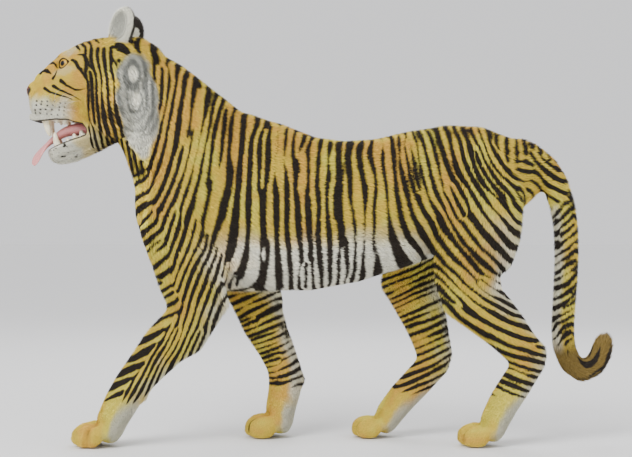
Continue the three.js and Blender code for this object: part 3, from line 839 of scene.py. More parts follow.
def body_field(places):
    """The stripes of trunk, neck and legs: arcs about the ruff, upright bands, arcs about the rump."""
    x, y, z = places.points.T
    front = -650 + 1.12 * np.hypot(y + 621, 0.43 * (z - 1058)) + 0.42 * below(z, 520)
    back = 915 - 1.25 * np.hypot(y - 740, 0.75 * (z - 1050)) - 0.2 * below(z, 480)
    phase = blend(front, y, smooth(y, -440, -117))
    phase = blend(phase, back, smooth(y, 90, 330))

    # over the nape, the croup and the seat the arcs open into bands from side to side
    crest = smooth(places.normals[:, 2], 0.4, 0.85)
    phase = blend(phase, y - 6, crest * smooth(y, -440, -540) * smooth(z, 1080, 1130))
    seat = 615 + 0.95 * (z - 800) - 0.35 * (np.abs(x) - 100)
    seat_share = smooth(places.normals[:, 1], 0.35, 0.85) * smooth(y, 430, 520) * smooth(z, 400, 480)
    slope = places.normals[:, 2] + 0.6 * places.normals[:, 1]
    croup_share = smooth(slope, 0.42, 0.85) * smooth(y, 430, 520) * smooth(z, 740, 800) * (1 - seat_share)

    # bands rise from the front edge of neck, chest and near foreleg into long stripes down that leg
    edge_z, edge_y = FRONT_EDGE.T
    from_edge = y - np.interp(z, edge_z, edge_y)
    near_fore = smooth(places.share["foreleg_left"], 0.2, 0.6) * smooth(z, 760, 620)
    long_share = near_fore * smooth(from_edge, 5, 75)
    long_phase = 1.4 * (y - 0.28 * z + 0.25 * below(z, 400))
    chest = smooth(y, -430, -470) * smooth(z, 960, 880) * smooth(z, 480, 560)
    rising_share = np.maximum(chest, near_fore) * smooth(from_edge, 75, 5)
    long_share = long_share * (1 - rising_share)
    rising_phase = 0.57 * y - 0.76 * z + 0.3 * below(z, 480)
    low = smooth(z, 650, 570) * (x < 0)
    fore_share = smooth(places.share["foreleg_right"], 0.2, 0.5) * low
    hind_share = smooth(places.share["hindleg_right"], 0.2, 0.5) * low
    across_leg = 1.35 * (0.42 * y - z)
    main_share = np.clip(1 - long_share - rising_share - fore_share - hind_share, 0, 1)
    families = [
        (main_share * (1 - croup_share - seat_share), phase, 0.75 * (z - y)),
        (main_share * croup_share, 1.17 * y + 10, 0.75 * (z - y)),
        (main_share * seat_share, seat, 0.75 * (z - y)),
        (long_share, long_phase, z + 0.4 * y),
        (rising_share, rising_phase, 0.8 * y + 0.6 * z),
        (fore_share + hind_share, across_leg, y + 0.42 * z),
    ]
    thin = -2.2 * smooth(z, 165, 105)
    return wave_field(families, x - 160 * smooth(x, 15, -25), black=0.02 + thin)


def tail_frame(points):
    """Length along the tail, how far to its front and its left each point lies, and the tail's length."""
    length = along_chain(points, TAIL)[0]
    starts = np.concatenate([[0], np.cumsum(np.linalg.norm(np.diff(TAIL, axis=0), axis=1))])
    middle = np.column_stack([np.interp(length, starts, TAIL[:, axis]) for axis in range(3)])
    ways = unit(np.gradient(TAIL, starts, axis=0))
    way = np.column_stack([np.interp(length, starts, ways[:, axis]) for axis in range(3)])
    ahead = unit(np.cross(way, (1, 0, 0)))
    off = points - middle
    return length, (off * ahead).sum(1), off[:, 0], starts[-1]


MOUTH_CORNER = np.array([(62, -752, 952), (67, -728, 947), (69, -714, 935), (64, -714, 918)], float)
TEAR_LINE = np.array([(41, -798, 1114), (37, -814, 1104), (37, -825, 1091)], float)


def mouth_share(places):
    """1 inside the mouth, where gums and palate are bare."""
    x, y, z = places.points.T
    normal = places.normals
    side = np.abs(x)
    lip_x, lip_y, _ = UPPER_LIP[::-1].T
    within = side < np.interp(y, lip_y, lip_x) - 1.5
    above = (normal[:, 2] < 0.1) & within & (y > -884) & (y < -676) & (z > 925) & (z < 1012)
    closed = (places.points - HINGE) @ np.array(Matrix.Rotation(JAW_OPEN, 3, "X")) + HINGE
    inward = normal[:, 0] * np.sign(x) < -0.3
    upright = normal[:, 2] > 0.15
    jaw = (inward | upright) & (side < 54) & (closed[:, 1] > -876) & (closed[:, 1] < -690)
    jaw = jaw & (closed[:, 2] > 905) & (closed[:, 2] < 972) & (z < 935)
    throat = (side < 46) & (y > -720) & (y < -650) & (z > 905) & (z < 965)
    return (above | jaw | throat).astype(float) * (places.face > 0.02)


def lip_line(points):
    """Distance from the wet edges of both lips."""
    folded = mirrored(points)
    lines = (UPPER_LIP + (-2, 1, -8), opened(LOWER_LIP + (-2, 2, 6)), MOUTH_CORNER)
    upper, lower, corner = (along_chain(folded, line)[1] for line in lines)
    return np.minimum.reduce([upper, lower, corner + 1.5])


def whisker_roots():
    """The roots of the left whiskers in four rows, each with its place along its row."""
    rng = np.random.default_rng(SEED + 8)
    for row in range(4):
        for place in range(6):
            root = (40 + 2.4 * place + 2 * row, -866 + 17 * place - 2 * row, 1014 - 12 * row - place)
            yield root + rng.uniform(-2.4, 2.4, 3), place


class Marks:
    """The ground colour at some places, and how many millimetres inside the black they lie."""

    def __init__(self, ground, black):
        self.ground = ground
        self.black = black

    def tint(self, colour, share):
        """Lays a colour over the ground."""
        self.ground = blend(self.ground, colour, share[:, None])

    def replace(self, field, share):
        """Puts other marks in the place of those there."""
        self.black = blend(self.black, field, share)

    def add(self, field, wanted=True):
        """Adds marks to those there."""
        self.black = np.maximum(self.black, np.where(wanted, field, NO_MARK))


def mark_ground(points, marks):
    """Yellow ground, lemon and tan by turns."""
    tone = noise(points * (1, 1, 0.5), 70, 21) + 0.5 * noise(points, 26, 22)
    tone = tone - 0.25 * smooth(points[:, 2], 600, 950)
    marks.tint(LEMON, smooth(tone, 0.05, 0.8))
    marks.tint(TAN, smooth(tone, -0.1, -0.9))


def mark_underside(places, marks):
    """White of the belly, of the rear edges of the legs and of the heels."""
    normals, share = places.normals, places.share
    _, y, z = places.points.T
    edge = 28 * noise(places.points, 60, 23)
    belly = smooth(z + edge, 650, 570) * share["trunk"]
    downward = smooth(-normals[:, 2], 0.3, 0.8) * smooth(z, 700, 640) * smooth(z, 380, 460)
    rear = smooth(normals[:, 1] + 0.3 * noise(places.points, 50, 26), 0.1, 0.8) * places.legs
    rear = rear * smooth(z - (620 + 90 * (y > 0)), 0, -90)
    root = share["hindleg_left"] * smooth(y, 530, 600) * smooth(z, 700, 640) * smooth(z, 380, 500)
    pale = belly + 0.6 * downward + 0.85 * rear + 0.6 * root
    marks.tint(WHITE, np.clip(pale, 0, 1) * smooth(z, 60, 130))
    behind = 0
    for name, leg in LEGS.items():
        foot_y = leg["joints"][-1][0]
        behind = behind + share[name] * smooth(y, foot_y - 12, foot_y + 22)
    heel = smooth(normals[:, 1], -0.1, 0.5) * behind * smooth(z + 0.4 * edge, 150, 90) * smooth(z, 6, 24)
    marks.tint(blend(GREY, WHITE, 0.4), 0.9 * heel)
    marks.black = marks.black - 1.2 * smooth(z, 560, 500) * share["trunk"]


def mark_tail(places, marks):
    """Rings round the tail, its white underside, and its olive tip."""
    length, ahead, _, end = tail_frame(places.points)
    x = places.points[:, 0]
    rings = wave_field([(1, length - 0.75 * ahead, ahead * 3)], x, step=31, black=0.12)
    on_tail = smooth(places.share["tail"], 0.35, 0.65)
    marks.replace(rings, on_tail)
    marks.tint(WHITE, on_tail * smooth(ahead, 4, 22) * 0.85)
    tip = on_tail * smooth(length, end - 250, end - 190)
    marks.tint(OLIVE, tip)
    marks.replace(7 * noise(np.column_stack([length, ahead, x]), (60, 9, 9), 24) - 2, tip)


def mark_ruff(places, marks):
    """Grey swirls about two pale ovals behind the cheek; gives the share of the ruff at each place."""
    points = places.points
    x, y, z = points.T
    upper = np.hypot(y + 574, (z - 1088) / 1.6)
    lower = np.hypot(y + 566, (z - 1014) / 1.6)
    ring = soft_least(upper, lower, 18) + 3 * noise(points, 26, 28)
    edge = np.hypot((y + 560 + 0.08 * (z - 1000)) / 62, (z - 998) / 150) + 0.10 * noise(points, 34, 27)
    in_ruff = smooth(edge, 1.04, 0.92) * smooth(np.abs(x), 45, 75) * (1 - places.ear)
    swirls = wave_field([(1, ring, np.arctan2(z - 1040, y + 570) * 60)], x, step=19)
    ruff = Marks(GREY, swirls)
    ruff.tint(SLATE, 0.8 * smooth(swirls, -1.5, 2.5) * smooth(ring, 12, 16))
    ruff.tint(WHITE, smooth(ring, 15, 9))
    ruff.tint(WHITE, 0.6 * smooth(z + 30 * noise(points, 40, 29), 960, 900))
    marks.tint(ruff.ground, in_ruff)
    marks.replace(CLEAR, in_ruff)
    return in_ruff


def mark_face(places, face, marks):
    """Strokes, bars behind the cheek, white of brow, muzzle and jaw, and the rows of whisker dots."""
    points = places.points
    x, y, z = points.T
    side = np.abs(x)
    turn = np.degrees(np.arctan2(side, z - FACE_AXIS_Z))
    drawn = stroke_field(points, FACE_STROKES)
    bar_phase = y + 0.10 * (z - 1010) + 5 * noise(points, 60, 30)
    bars = wave_field([(1, bar_phase, z)], x, step=20, black=0.3, sway=0.35)
    behind_cheek = smooth(y + 8 * noise(points, 30, 32), -724, -706) * smooth(turn, 34, 46)
    marks.replace(blend(drawn, np.maximum(drawn, bars), behind_cheek), face)

    brow = np.hypot((y + 764) / 26, (turn - 32) / 9.5) + 0.3 * noise(points, 12, 33)
    under_eye = np.hypot((y + 780) / 34, (turn - 62) / 9) + 0.3 * noise(points, 14, 34)
    round_eye = (0.45 * smooth(brow, 1.3, 0.5) + 0.3 * smooth(under_eye, 1.3, 0.5)) * face
    low_edge = 14 * noise(points, 30, 25)
    muzzle = smooth(z + low_edge + 0.12 * (-y - 880), 1034, 992) * smooth(y, -740, -800) * face
    jaw = smooth(places.share["jaw"], 0.3, 0.6) * smooth(y + low_edge, -720, -760)
    jaw_rear = 0.5 * smooth(z, 960, 900) * smooth(y, -640, -700) * face
    marks.tint(WHITE, np.clip(round_eye + muzzle + jaw + jaw_rear, 0, 1))
    marks.add(noise(points, 5.5, 35) * 6 - 3.7, jaw > 0.6)
    on_muzzle = (muzzle > 0.02) & (y < -750) & (side > 20)
    for root, place in whisker_roots():
        marks.add(3.2 - 0.15 * place - np.hypot(y - root[1], z - root[2]), on_muzzle)


def mark_openings(places, face, marks):
    """Nose pad, nostrils with painted shade in their hollows, lips, lids and gums; gives the share without
    fur at each place.
    """
    points = places.points
    folded = mirrored(points)
    side, y, z = folded.T
    nose = ellipsoid(points, NOSE_PAD, (31, 25, 19.5))
    leather = smooth(nose, 3.5, 1.0) * smooth(y + 0.35 * (z - 1050) - 0.2 * side, -884, -890)
    marks.tint(LEATHER, leather)
    marks.replace(CLEAR, leather > 0.4)
    marks.add(2.2 - np.abs(nose - 3.0), (y < -868) & (z < 1062))
    # painted shade: the hollows of the nostrils drawn black
    marks.add(5.2 - along_chain(folded, NOSTRIL)[1])
    lips = 9.8 - lip_line(points)
    rim = np.where(np.linalg.norm(folded - EYE, axis=-1) < 35, 4.8 - eye_opening(folded), NO_MARK)
    marks.add(lips, face > 0.2)
    marks.add(rim)
    marks.add(3.8 - along_chain(folded, TEAR_LINE)[1])
    bare = mouth_share(places)
    gum = bare * smooth(lips, 1, -3)
    marks.tint(GUM, gum)
    marks.replace(CLEAR, gum)
    edges = smooth(rim, -1, 0.6) + smooth(lips, -0.5, 1.5) * (face > 0.2) + smooth(nose, 6, 3)
    soles = smooth(z, 9, 5)
    return np.clip(bare + (leather > 0.3) + edges + soles, 0, 1)


def mark_ears(places, marks):
    """Ears black behind with a white spot, and pale in front."""
    across, _, up = ear_place(places.points)
    from_rim = np.hypot(across / EAR_RADII[0], up / EAR_RADII[2])
    front = smooth(-(places.folded_normals() @ EAR_TURN)[:, 1], -0.35, 0.1)
    inside = blend(WHITE, GREY, smooth(from_rim, 0.92, 0.7)[:, None])
    behind = np.where(np.hypot(across, up - 8) < 17, CLEAR, 6.0) * smooth(up, -34, -22)
    marks.tint(blend(WHITE, inside, front[:, None]), places.ear)
    marks.replace(blend(behind, CLEAR, front), places.ear)


def paint_toe_gap_shade(places, marks):
    """Painted shade: dark lines in the grooves between the toes and in the crease beside the outer toe."""
    x, y, z = places.points.T
    upward = places.normals[:, 2] - places.normals[:, 1] > 0.1
    for leg in LEGS.values():
        foot_y = leg["joints"][-1][0]
        ahead = foot_y - y
        on_toes = (z < 90) & (z > 12) & (ahead > 44) & (ahead < 140) & upward & (x * leg["side"] > 0)
        for middle in toe_gaps(leg):
            marks.add(2.0 * smooth(ahead, 44, 70) - np.abs(x - middle), on_toes)
        # painted shade in the crease beside the outer toe
        marks.add(4.2 - along_chain(places.points, crease(leg))[1])


def markings(places):
    """The ground colour, the black field in millimetres, and where no fur grows."""
    marks = Marks(OCHRE, body_field(places))
    mark_ground(places.points, marks)
    mark_underside(places, marks)
    mark_tail(places, marks)
    face = places.face * (1 - mark_ruff(places, marks))
    mark_face(places, face, marks)
    no_fur = mark_openings(places, face, marks)
    mark_ears(places, marks)
    paint_toe_gap_shade(places, marks)
    return marks.ground, marks.black, no_fur


# ---------------------------------------------------------------- materials
def node(tree, kind, inputs=(), **settings):
    """A new shader node, with settings and with values or links for its inputs."""
    made = tree.nodes.new(kind)
    for key, value in settings.items():
        setattr(made, key, value)
    for key, value in dict(inputs).items():
        if isinstance(value, bpy.types.NodeSocket):
            tree.links.new(value, made.inputs[key])
        else:
            made.inputs[key].default_value = value
    return made


def new_material(name, values):
    """A new material with values for some inputs of its shader, and its node tree and that shader."""
    material = bpy.data.materials.new(name)
    material.use_nodes = True
    shader = material.node_tree.nodes["Principled BSDF"]
    for key, value in values.items():
        shader.inputs[key].default_value = value
    return material, material.node_tree, shader


def plain_material(name, colour, roughness):
    """A material of one colour, for the hairs and the floor."""
    return new_material(name, {"Base Color": (*colour, 1), "Roughness": roughness})[0]


def attribute(tree, name, output="Fac"):
    """What a shader reads from an attribute of the mesh."""
    return node(tree, "ShaderNodeAttribute", attribute_name=name).outputs[output]


def object_place(tree):
    """Where a point lies in the object."""
    return node(tree, "ShaderNodeTexCoord").outputs["Object"]


def roughen(tree, shader, height, strength, depth, **settings):
    """Bumps on a shader's surface, of a depth in metres."""
    inputs = {"Height": height, "Strength": strength, "Distance": depth}
    bump = node(tree, "ShaderNodeBump", inputs, **settings)
    tree.links.new(bump.outputs["Normal"], shader.inputs["Normal"])


MARK_EDGE = 1.1        # half the width, in millimetres, over which the ground turns black


def coat_material(name, grained=False):
    """The coat's colour from the ground and the black field, times painted shade and random tone: tufts
    darken towards their roots, and the skin darkens under the fur.
    """
    material, tree, shader = new_material(name, {"Roughness": 0.68, "Specular IOR Level": 0.25})
    edge = {"Value": attribute(tree, "black"), "From Min": -MARK_EDGE, "From Max": MARK_EDGE}
    dark = node(tree, "ShaderNodeMapRange", edge, interpolation_type="SMOOTHSTEP").outputs["Result"]
    colours = {"Factor": dark, 6: attribute(tree, "ground", "Color"), 7: (*BLACK, 1)}
    marked = node(tree, "ShaderNodeMix", colours, data_type="RGBA").outputs[2]
    # painted shade, with each tuft's random tone, multiplies the colour
    shades = {"Factor": 1.0, 6: marked, 7: attribute(tree, "painted_shade_and_tone")}
    with_painted_shade = node(tree, "ShaderNodeMix", shades, data_type="RGBA", blend_type="MULTIPLY").outputs[2]
    tree.links.new(with_painted_shade, shader.inputs["Base Color"])
    if grained:
        speckle = {"Vector": object_place(tree), "Scale": 420.0, "Detail": 3.0}
        grain = node(tree, "ShaderNodeTexNoise", speckle).outputs["Fac"]
        roughen(tree, shader, grain, 0.35, 0.0015)
    return material


# ---------------------------------------------------------------- the map OFBake
def unwrap(places):
    """A flat place for each point on a map of the skin's own shape, one part of it for each region."""
    points = places.points
    x, y, z = points.T

    def round_axis(off, rise):
        return np.arctan2(off, rise) / (2 * np.pi) + 0.5

    # each region's map from 0 to 1, and its left, low, wide and high on the whole
    spine_z = np.interp(y, [-620, -420, 0, 330, 620], [1000, 850, 720, 760, 820])
    trunk = np.column_stack([round_axis(x, z - spine_z), (y + 640) / 1280])
    head = np.column_stack([round_axis(x, z - 1040), (y + 930) / 400])
    length, ahead, off, end = tail_frame(points)
    tail = np.column_stack([length / (end + 30), round_axis(off, ahead)])
    head_room = (0.005, 0.24, 0.50, 0.21)
    chart = {
        "trunk": (trunk, (0.005, 0.46, 0.99, 0.53)),
        "head": (head, head_room),
        "jaw": (head, head_room),
        "tail": (tail, (0.52, 0.24, 0.47, 0.10)),
    }
    for place, (name, leg) in enumerate(LEGS.items()):
        chain = leg_points(leg)
        middle = np.interp(z, chain[::-1, 2], chain[::-1, 1])
        turn = round_axis(x - chain[0, 0], y - middle)
        flat = np.column_stack([turn, along_chain(points, chain)[0] / 900])
        chart[name] = (flat, (0.005 + 0.25 * place, 0.005, 0.235, 0.225))

    best = np.stack([places.share[region] for region in chart]).argmax(0)
    result = np.zeros((len(points), 2))
    for index, (flat, (left, low, wide, high)) in enumerate(chart.values()):
        mine = best == index
        result[mine] = np.clip(flat[mine], 0, 1) * (wide, high) + (left, low)
    across, _, up = ear_place(points)
    back = (places.folded_normals() @ EAR_TURN)[:, 1] > 0
    column = 0.58 + 0.115 * (2 * (x > 0) + back)
    ear = np.column_stack([column + across / 52 * 0.048, 0.40 + up / 64 * 0.048])
    on_ears = places.ear > 0.5
    result[on_ears] = ear[on_ears]
    return np.clip(result, 0.003, 0.994)


def add_map(piece, flat):
    """Gives a piece the map OFBake, from one flat place for each of its vertices."""
    mesh = piece.data
    layer = mesh.uv_layers.new(name="OFBake")
    corners = np.empty(len(mesh.loops), np.int32)
    mesh.loops.foreach_get("vertex_index", corners)
    layer.data.foreach_set("uv", flat[corners].astype(np.float32).ravel())


# ---------------------------------------------------------------- the coat
BENT_TUFTS = 28_000
STRAIGHT_TUFTS = 280_000
BENT_LENGTH = 21.5         # below this length a tuft is one straight sliver, above it has a bend
PIECE_TRIANGLES = 186_000
TRIANGLE = ((-0.5, 0.0), (0.5, 0.0), (0.0, 0.42))
# a tuft's rings from root to tip: how far along it and how far up it lie, and their width
BENT_PATH = ((0.0, -0.05, 0.85), (0.5, 0.72, 1.0), (0.97, 1.0, 0.0))
STRAIGHT_PATH = ((0.0, 0.02, 1.0), (0.97, 1.0, 0.0))


def tuft_length(places):
    """How long the coat is, in millimetres."""
    x, y, z = places.points.T
    side = np.abs(x)
    length = np.full(len(x), 17.5)
    length = blend(length, 27, smooth(z, 640, 560) * places.share["trunk"])
    length = blend(length, 24, smooth(y, -480, -560) * smooth(z, 930, 800))
    rear = smooth(places.normals[:, 1], 0.2, 0.8) * places.legs
    length = blend(length, 24, rear * smooth(z, 300, 500))
    length = blend(length, 12, smooth(z, 560, 420) * places.legs * (1 - rear))
    length = blend(length, 10, smooth(z, 330, 140) * (1 - 0.4 * rear))
    length = blend(length, 6, smooth(z, 110, 50))
    length = blend(length, 15, places.share["tail"])
    length = blend(length, 21, places.share["tail"] * smooth(y, 730, 800))
    from_nose = np.linalg.norm(places.points - NOSE, axis=-1)
    face_length = np.interp(from_nose, [0, 70, 130, 230, 330], [4.0, 5.5, 7.5, 13, 17])
    length = blend(length, face_length, smooth(places.face, 0.2, 0.6))
    ruff = smooth(y, -690, -640) * smooth(y, -500, -580) * smooth(z, 1130, 1060) * smooth(z, 820, 880)
    length = blend(length, 30, ruff * smooth(side, 50, 85))
    length = blend(length, 12, places.share["jaw"] * smooth(z, 880, 860))
    near_eye = np.linalg.norm(mirrored(places.points) - EYE, axis=-1)
    length = np.minimum(length, np.interp(near_eye, [27, 62, 82], [3.4, 8.0, 40]))
    length = np.minimum(length, np.interp(lip_line(places.points), [8, 50, 70], [4.5, 13, 40]))
    return blend(length, 9, places.ear)


def pick_roots(points, quads, lengths, wanted, count, rng):
    """Places for some tufts, closer where the coat is short: quads, and shares of their corners."""
    area = 0.5 * np.linalg.norm(diagonal_cross(points, quads), axis=1)
    wish = area * wanted[quads].mean(1) / np.maximum(lengths[quads].mean(1), 5.0) ** 1.35
    total = np.cumsum(wish)
    picks = (np.arange(count) + rng.random(count)) / count * total[-1]
    u, v = rng.random((2, count))
    weights = np.column_stack([(1 - u) * (1 - v), u * (1 - v), u * v, (1 - u) * v])
    return np.searchsorted(total, picks), weights


def tuft_faces(levels):
    """The triangles of one closed sliver: rings of three points, and the tip."""
    faces = [(0, 2, 1)]
    for ring in range(levels - 2):
        for corner in range(3):
            a, b = 3 * ring + corner, 3 * ring + (corner + 1) % 3
            faces += [(a, b, b + 3), (a, b + 3, a + 3)]
    last = 3 * (levels - 2)
    faces += [(last + corner, last + (corner + 1) % 3, last + 3) for corner in range(3)]
    return np.array(faces)


def grow_tufts(skin_places, quads, lengths, wanted, count, path, seed):
    """Tufts as arrays with one row for each (points, colours, places on the map), and their order."""
    rng = np.random.default_rng(SEED + seed)
    face, weights = pick_roots(skin_places.points, quads, lengths, wanted, count, rng)

    def at_roots(values):
        return np.einsum("nk,nk...->n...", weights, values[quads[face]])

    roots = Places(at_roots(skin_places.points), unit(at_roots(skin_places.normals)))
    normals = roots.normals
    length = tuft_length(roots) * rng.uniform(0.78, 1.22, count)
    width = (np.clip(length * 0.135, 0.9, 3.2) * rng.uniform(0.8, 1.2, count))[:, None]
    sway = rng.normal(0, 0.15, count)[:, None]
    lie = unit(roots.lie + sway * unit(np.cross(normals, roots.lie)))
    across = unit(np.cross(normals, lie))
    depth = coat_depth(roots.points[:, 1], roots.points[:, 2])
    rise = np.clip(depth / length * 0.85, 0.2, 0.6) * rng.uniform(0.7, 1.2, count)
    lift, run = (rise * length)[:, None] * normals, length[:, None] * lie
    rows, grounds, blacks, shades = [], [], [], []
    brightness = rng.uniform(0.84, 1.14, count)
    spread = rng.normal(0, 0.3, count)
    for share, height, wide in path:
        middle = roots.points + share * run + height * lift
        here = Places(roots.points + (0.3 + 0.45 * share) * run, normals)
        ground, black, bare = markings(here)
        ring = TRIANGLE if wide else ((0.0, 0.0),)
        for a, b in ring:
            rows.append(middle + a * wide * width * across + b * wide * width * normals)
            grounds.append(ground)
            blacks.append(black + spread)
            # painted shade: darker towards the root, with a painted highlight on the sliver's upper point;
            # brightness is each tuft's random tone
            shades.append((0.82 + 0.40 * share + 0.05 * (b > 0)) * brightness)
        if share == 0:
            keep = bare < 0.5
    flat = unwrap(roots)
    patch = np.linspace((-0.0012, -0.0014), (0.0012, 0.0014), len(rows))
    on_leg = roots.points[:, 2] < 420
    region = np.select([roots.face > 0.5, roots.share["tail"] > 0.5, on_leg], [0, 1, 2], 3)
    order = np.lexsort((roots.points[:, 1], region))
    arrays = [np.stack(values, 1) for values in (rows, grounds, blacks, shades)]
    return arrays + [flat[:, None, :] + patch[None]], order[keep[order]]


def make_coat(skin_places, quads, bare, material):
    """The tufts, joined into pieces that each cover a stretch of the body."""
    lengths = tuft_length(skin_places)
    furry = np.clip(1 - 1.6 * bare, 0, 1)
    bent = smooth(lengths, BENT_LENGTH - 0.5, BENT_LENGTH + 0.5)
    kinds = (furry * bent, BENT_TUFTS, BENT_PATH), (furry * (1 - bent), STRAIGHT_TUFTS, STRAIGHT_PATH)
    for seed, (wanted, count, path) in enumerate(kinds, 1):
        arrays, order = grow_tufts(skin_places, quads, lengths, wanted, count, path, seed)
        faces = tuft_faces(len(path))
        corners = arrays[0].shape[1]
        pieces = int(np.ceil(len(order) * len(faces) / PIECE_TRIANGLES))
        for part in np.array_split(order, pieces):
            size = len(part)
            taken = [values[part].reshape(size * corners, -1) for values in arrays]
            points, ground, black, painted_shade_and_tone, flat = taken
            piece_faces = (np.arange(size)[:, None, None] * corners + faces[None]).reshape(-1, 3)
            piece = make_mesh("coat", points, piece_faces, material, smooth_shaded=False)
            set_attribute(piece, "ground", ground)
            set_attribute(piece, "black", black[:, 0])
            set_attribute(piece, "painted_shade_and_tone", painted_shade_and_tone[:, 0])
            add_map(piece, flat)
            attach(piece, "root")


# ---------------------------------------------------------------- eyes, tongue, teeth and whiskers
def grid_faces(rows, columns):
    """The quads of a closed tube of points laid out in rows."""
    row, column = np.meshgrid(np.arange(rows - 1), np.arange(columns), indexing="ij")
    after = (column + 1) % columns
    here, above = row * columns, (row + 1) * columns
    return np.stack([here + column, here + after, above + after, above + column], -1).reshape(-1, 4)


def ramp(tree, value, stops):
    """A colour ramp through (place, colour) stops."""
    made = node(tree, "ShaderNodeValToRGB", {"Fac": value})
    elements = made.color_ramp.elements
    elements[0].position, elements[0].color = stops[0][0], (*stops[0][1], 1)
    elements[1].position, elements[1].color = stops[-1][0], (*stops[-1][1], 1)
    for place, colour in stops[1:-1]:
        elements.new(place).color = (*colour, 1)
    return made.outputs["Color"]


def eye_material():
    """Amber iris with fine spokes and a round pupil, a dark rim, and a wet surface."""
    material, tree, shader = new_material("eye", {
        "Base Color": (*srgb(200, 150, 40), 1), "Roughness": 0.5, "Specular IOR Level": 0.1,
        "Coat Weight": 0.45, "Coat Roughness": 0.03,
    })
    spokes = {"Vector": attribute(tree, "spokes", "Vector"), "Scale": 3.0, "Detail": 3.0}
    grain = node(tree, "ShaderNodeTexNoise", spokes).outputs["Fac"]
    shift = node(tree, "ShaderNodeMath", {0: grain, 1: 0.16}, operation="MULTIPLY").outputs[0]
    place = node(tree, "ShaderNodeMath", {0: attribute(tree, "ring"), 1: shift}, operation="ADD").outputs[0]
    colours = ramp(tree, place, [
        (0.0, srgb(8, 7, 6)), (0.36, srgb(8, 7, 6)),
        (0.38, srgb(92, 62, 16)), (0.48, srgb(182, 138, 36)), (0.66, srgb(200, 156, 46)),
        (0.78, srgb(120, 80, 24)), (0.84, srgb(30, 22, 16)), (1.0, srgb(60, 42, 32)),
    ])
    tree.links.new(colours, shader.inputs["Base Color"])
    return material


def make_eye(side, material):
    """An eyeball with its cornea, turned the way the lids face."""
    rows, columns = 48, 64
    outer, up, ahead = eye_axes()
    outer, ahead = unit(outer + GAZE_TURN * ahead), unit(ahead - GAZE_TURN * outer)
    polar = np.linspace(0.003, np.pi - 0.003, rows)
    around = np.linspace(0, 2 * np.pi, columns, endpoint=False)
    polar, around = (grid.ravel() for grid in np.meshgrid(polar, around, indexing="ij"))
    radius = EYE_RADIUS - 0.4 + 0.9 * smooth(polar, 0.72, 0.2)
    flat = np.sin(polar)
    points = (flat * np.cos(around))[:, None] * outer + (flat * np.sin(around))[:, None] * up
    points = EYE + radius[:, None] * (points + np.cos(polar)[:, None] * ahead)
    faces = grid_faces(rows, columns)[:, ::-side]
    piece = make_mesh(f"eyeball_{'left' if side > 0 else 'right'}", points * (side, 1, 1), faces, material)
    iris, white = np.clip(polar / 0.8, 0, 1), np.clip((polar - 0.8) / 0.4, 0, 1)
    set_attribute(piece, "ring", 0.84 * iris + 0.16 * white - 0.06)
    set_attribute(piece, "spokes", np.column_stack([4 * np.cos(around), 4 * np.sin(around), polar]))
    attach(piece, "root")
    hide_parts("eye_left" if side > 0 else "eye_right")


# the tongue's stations from its tip: x, y and z of the middle, half width and half height
TONGUE = np.array([
    (24.5, -884, 826, 8, 1.6), (24, -880, 832, 15, 3.6), (18, -871, 856, 24.5, 5.2), (9, -851, 882, 24, 6.6),
    (2, -823, 907, 14.5, 10), (0, -790, 928, 25, 15.5), (0, -748, 937, 31, 18.5), (0, -700, 934, 28, 17.5),
    (0, -690, 932, 10, 6),
])


def tongue_shape():
    """The tongue's points and quads: a soft tube along its stations, grooved along the middle."""
    rows, columns = 110, 72
    at = np.linspace(0, len(TONGUE) - 1, rows)
    line = np.column_stack([np.interp(at, np.arange(len(TONGUE)), column) for column in TONGUE.T])
    kernel = np.exp(-0.5 * (np.arange(-9, 10) / 4.5) ** 2)
    for column in range(5):
        padded = np.pad(line[:, column], 9, mode="reflect", reflect_type="odd")
        line[:, column] = np.convolve(padded, kernel / kernel.sum(), mode="valid")
    middle = line[:, :3]
    half_width, half_height = np.maximum(line[:, 3], 1), np.maximum(line[:, 4], 0.6)
    way = unit(np.gradient(middle, axis=0))
    level = unit(np.cross(way, (0, -0.35, 1)))
    level = level * np.sign(level[:, :1])
    upright = np.cross(way, level)
    upright = upright * np.sign(upright[:, 2:3] - 0.6 * upright[:, 1:2])
    twist = -0.75 * np.maximum(0, 1 - 2.2 * np.linspace(0, 1, rows))
    across = np.cos(twist)[:, None] * level + np.sin(twist)[:, None] * upright
    over = np.cos(twist)[:, None] * upright - np.sin(twist)[:, None] * level
    around = np.linspace(0, 2 * np.pi, columns, endpoint=False)
    a = np.sign(np.cos(around)) * np.abs(np.cos(around)) ** 0.8
    b = np.sin(around)
    groove = 0.35 * np.exp(-(a / 0.16) ** 2) * (b > 0)
    height = (b - groove)[None] * half_height[:, None]
    points = middle[:, None] + a[None, :, None] * (half_width[:, None] * across)[:, None]
    points = (points + height[..., None] * over[:, None]).reshape(-1, 3)
    faces = grid_faces(rows, columns)
    from_middle = points[faces].mean(1) - np.repeat(middle[:-1], columns, axis=0)
    if (diagonal_cross(points, faces) * from_middle).sum() < 0:
        faces = faces[:, ::-1]
    return points, faces


def tongue_material():
    """Wet pink, rough with dotted papillae."""
    material, tree, shader = new_material("tongue", {
        "Base Color": (*srgb(206, 132, 128), 1), "Roughness": 0.38, "Coat Weight": 0.35,
    })
    papillae = {"Vector": object_place(tree), "Scale": 620.0}
    cells = node(tree, "ShaderNodeTexVoronoi", papillae).outputs["Distance"]
    dotted = ramp(tree, cells, [
        (0.05, srgb(176, 92, 96)), (0.35, srgb(208, 130, 128)), (1.0, srgb(216, 146, 142)),
    ])
    tree.links.new(dotted, shader.inputs["Base Color"])
    roughen(tree, shader, cells, 0.7, 0.0012, invert=True)
    return material


def make_tongue():
    """The tongue as a piece of its own."""
    piece = make_mesh("tongue_skin", *tongue_shape(), tongue_material())
    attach(piece, "root")
    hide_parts("tongue")


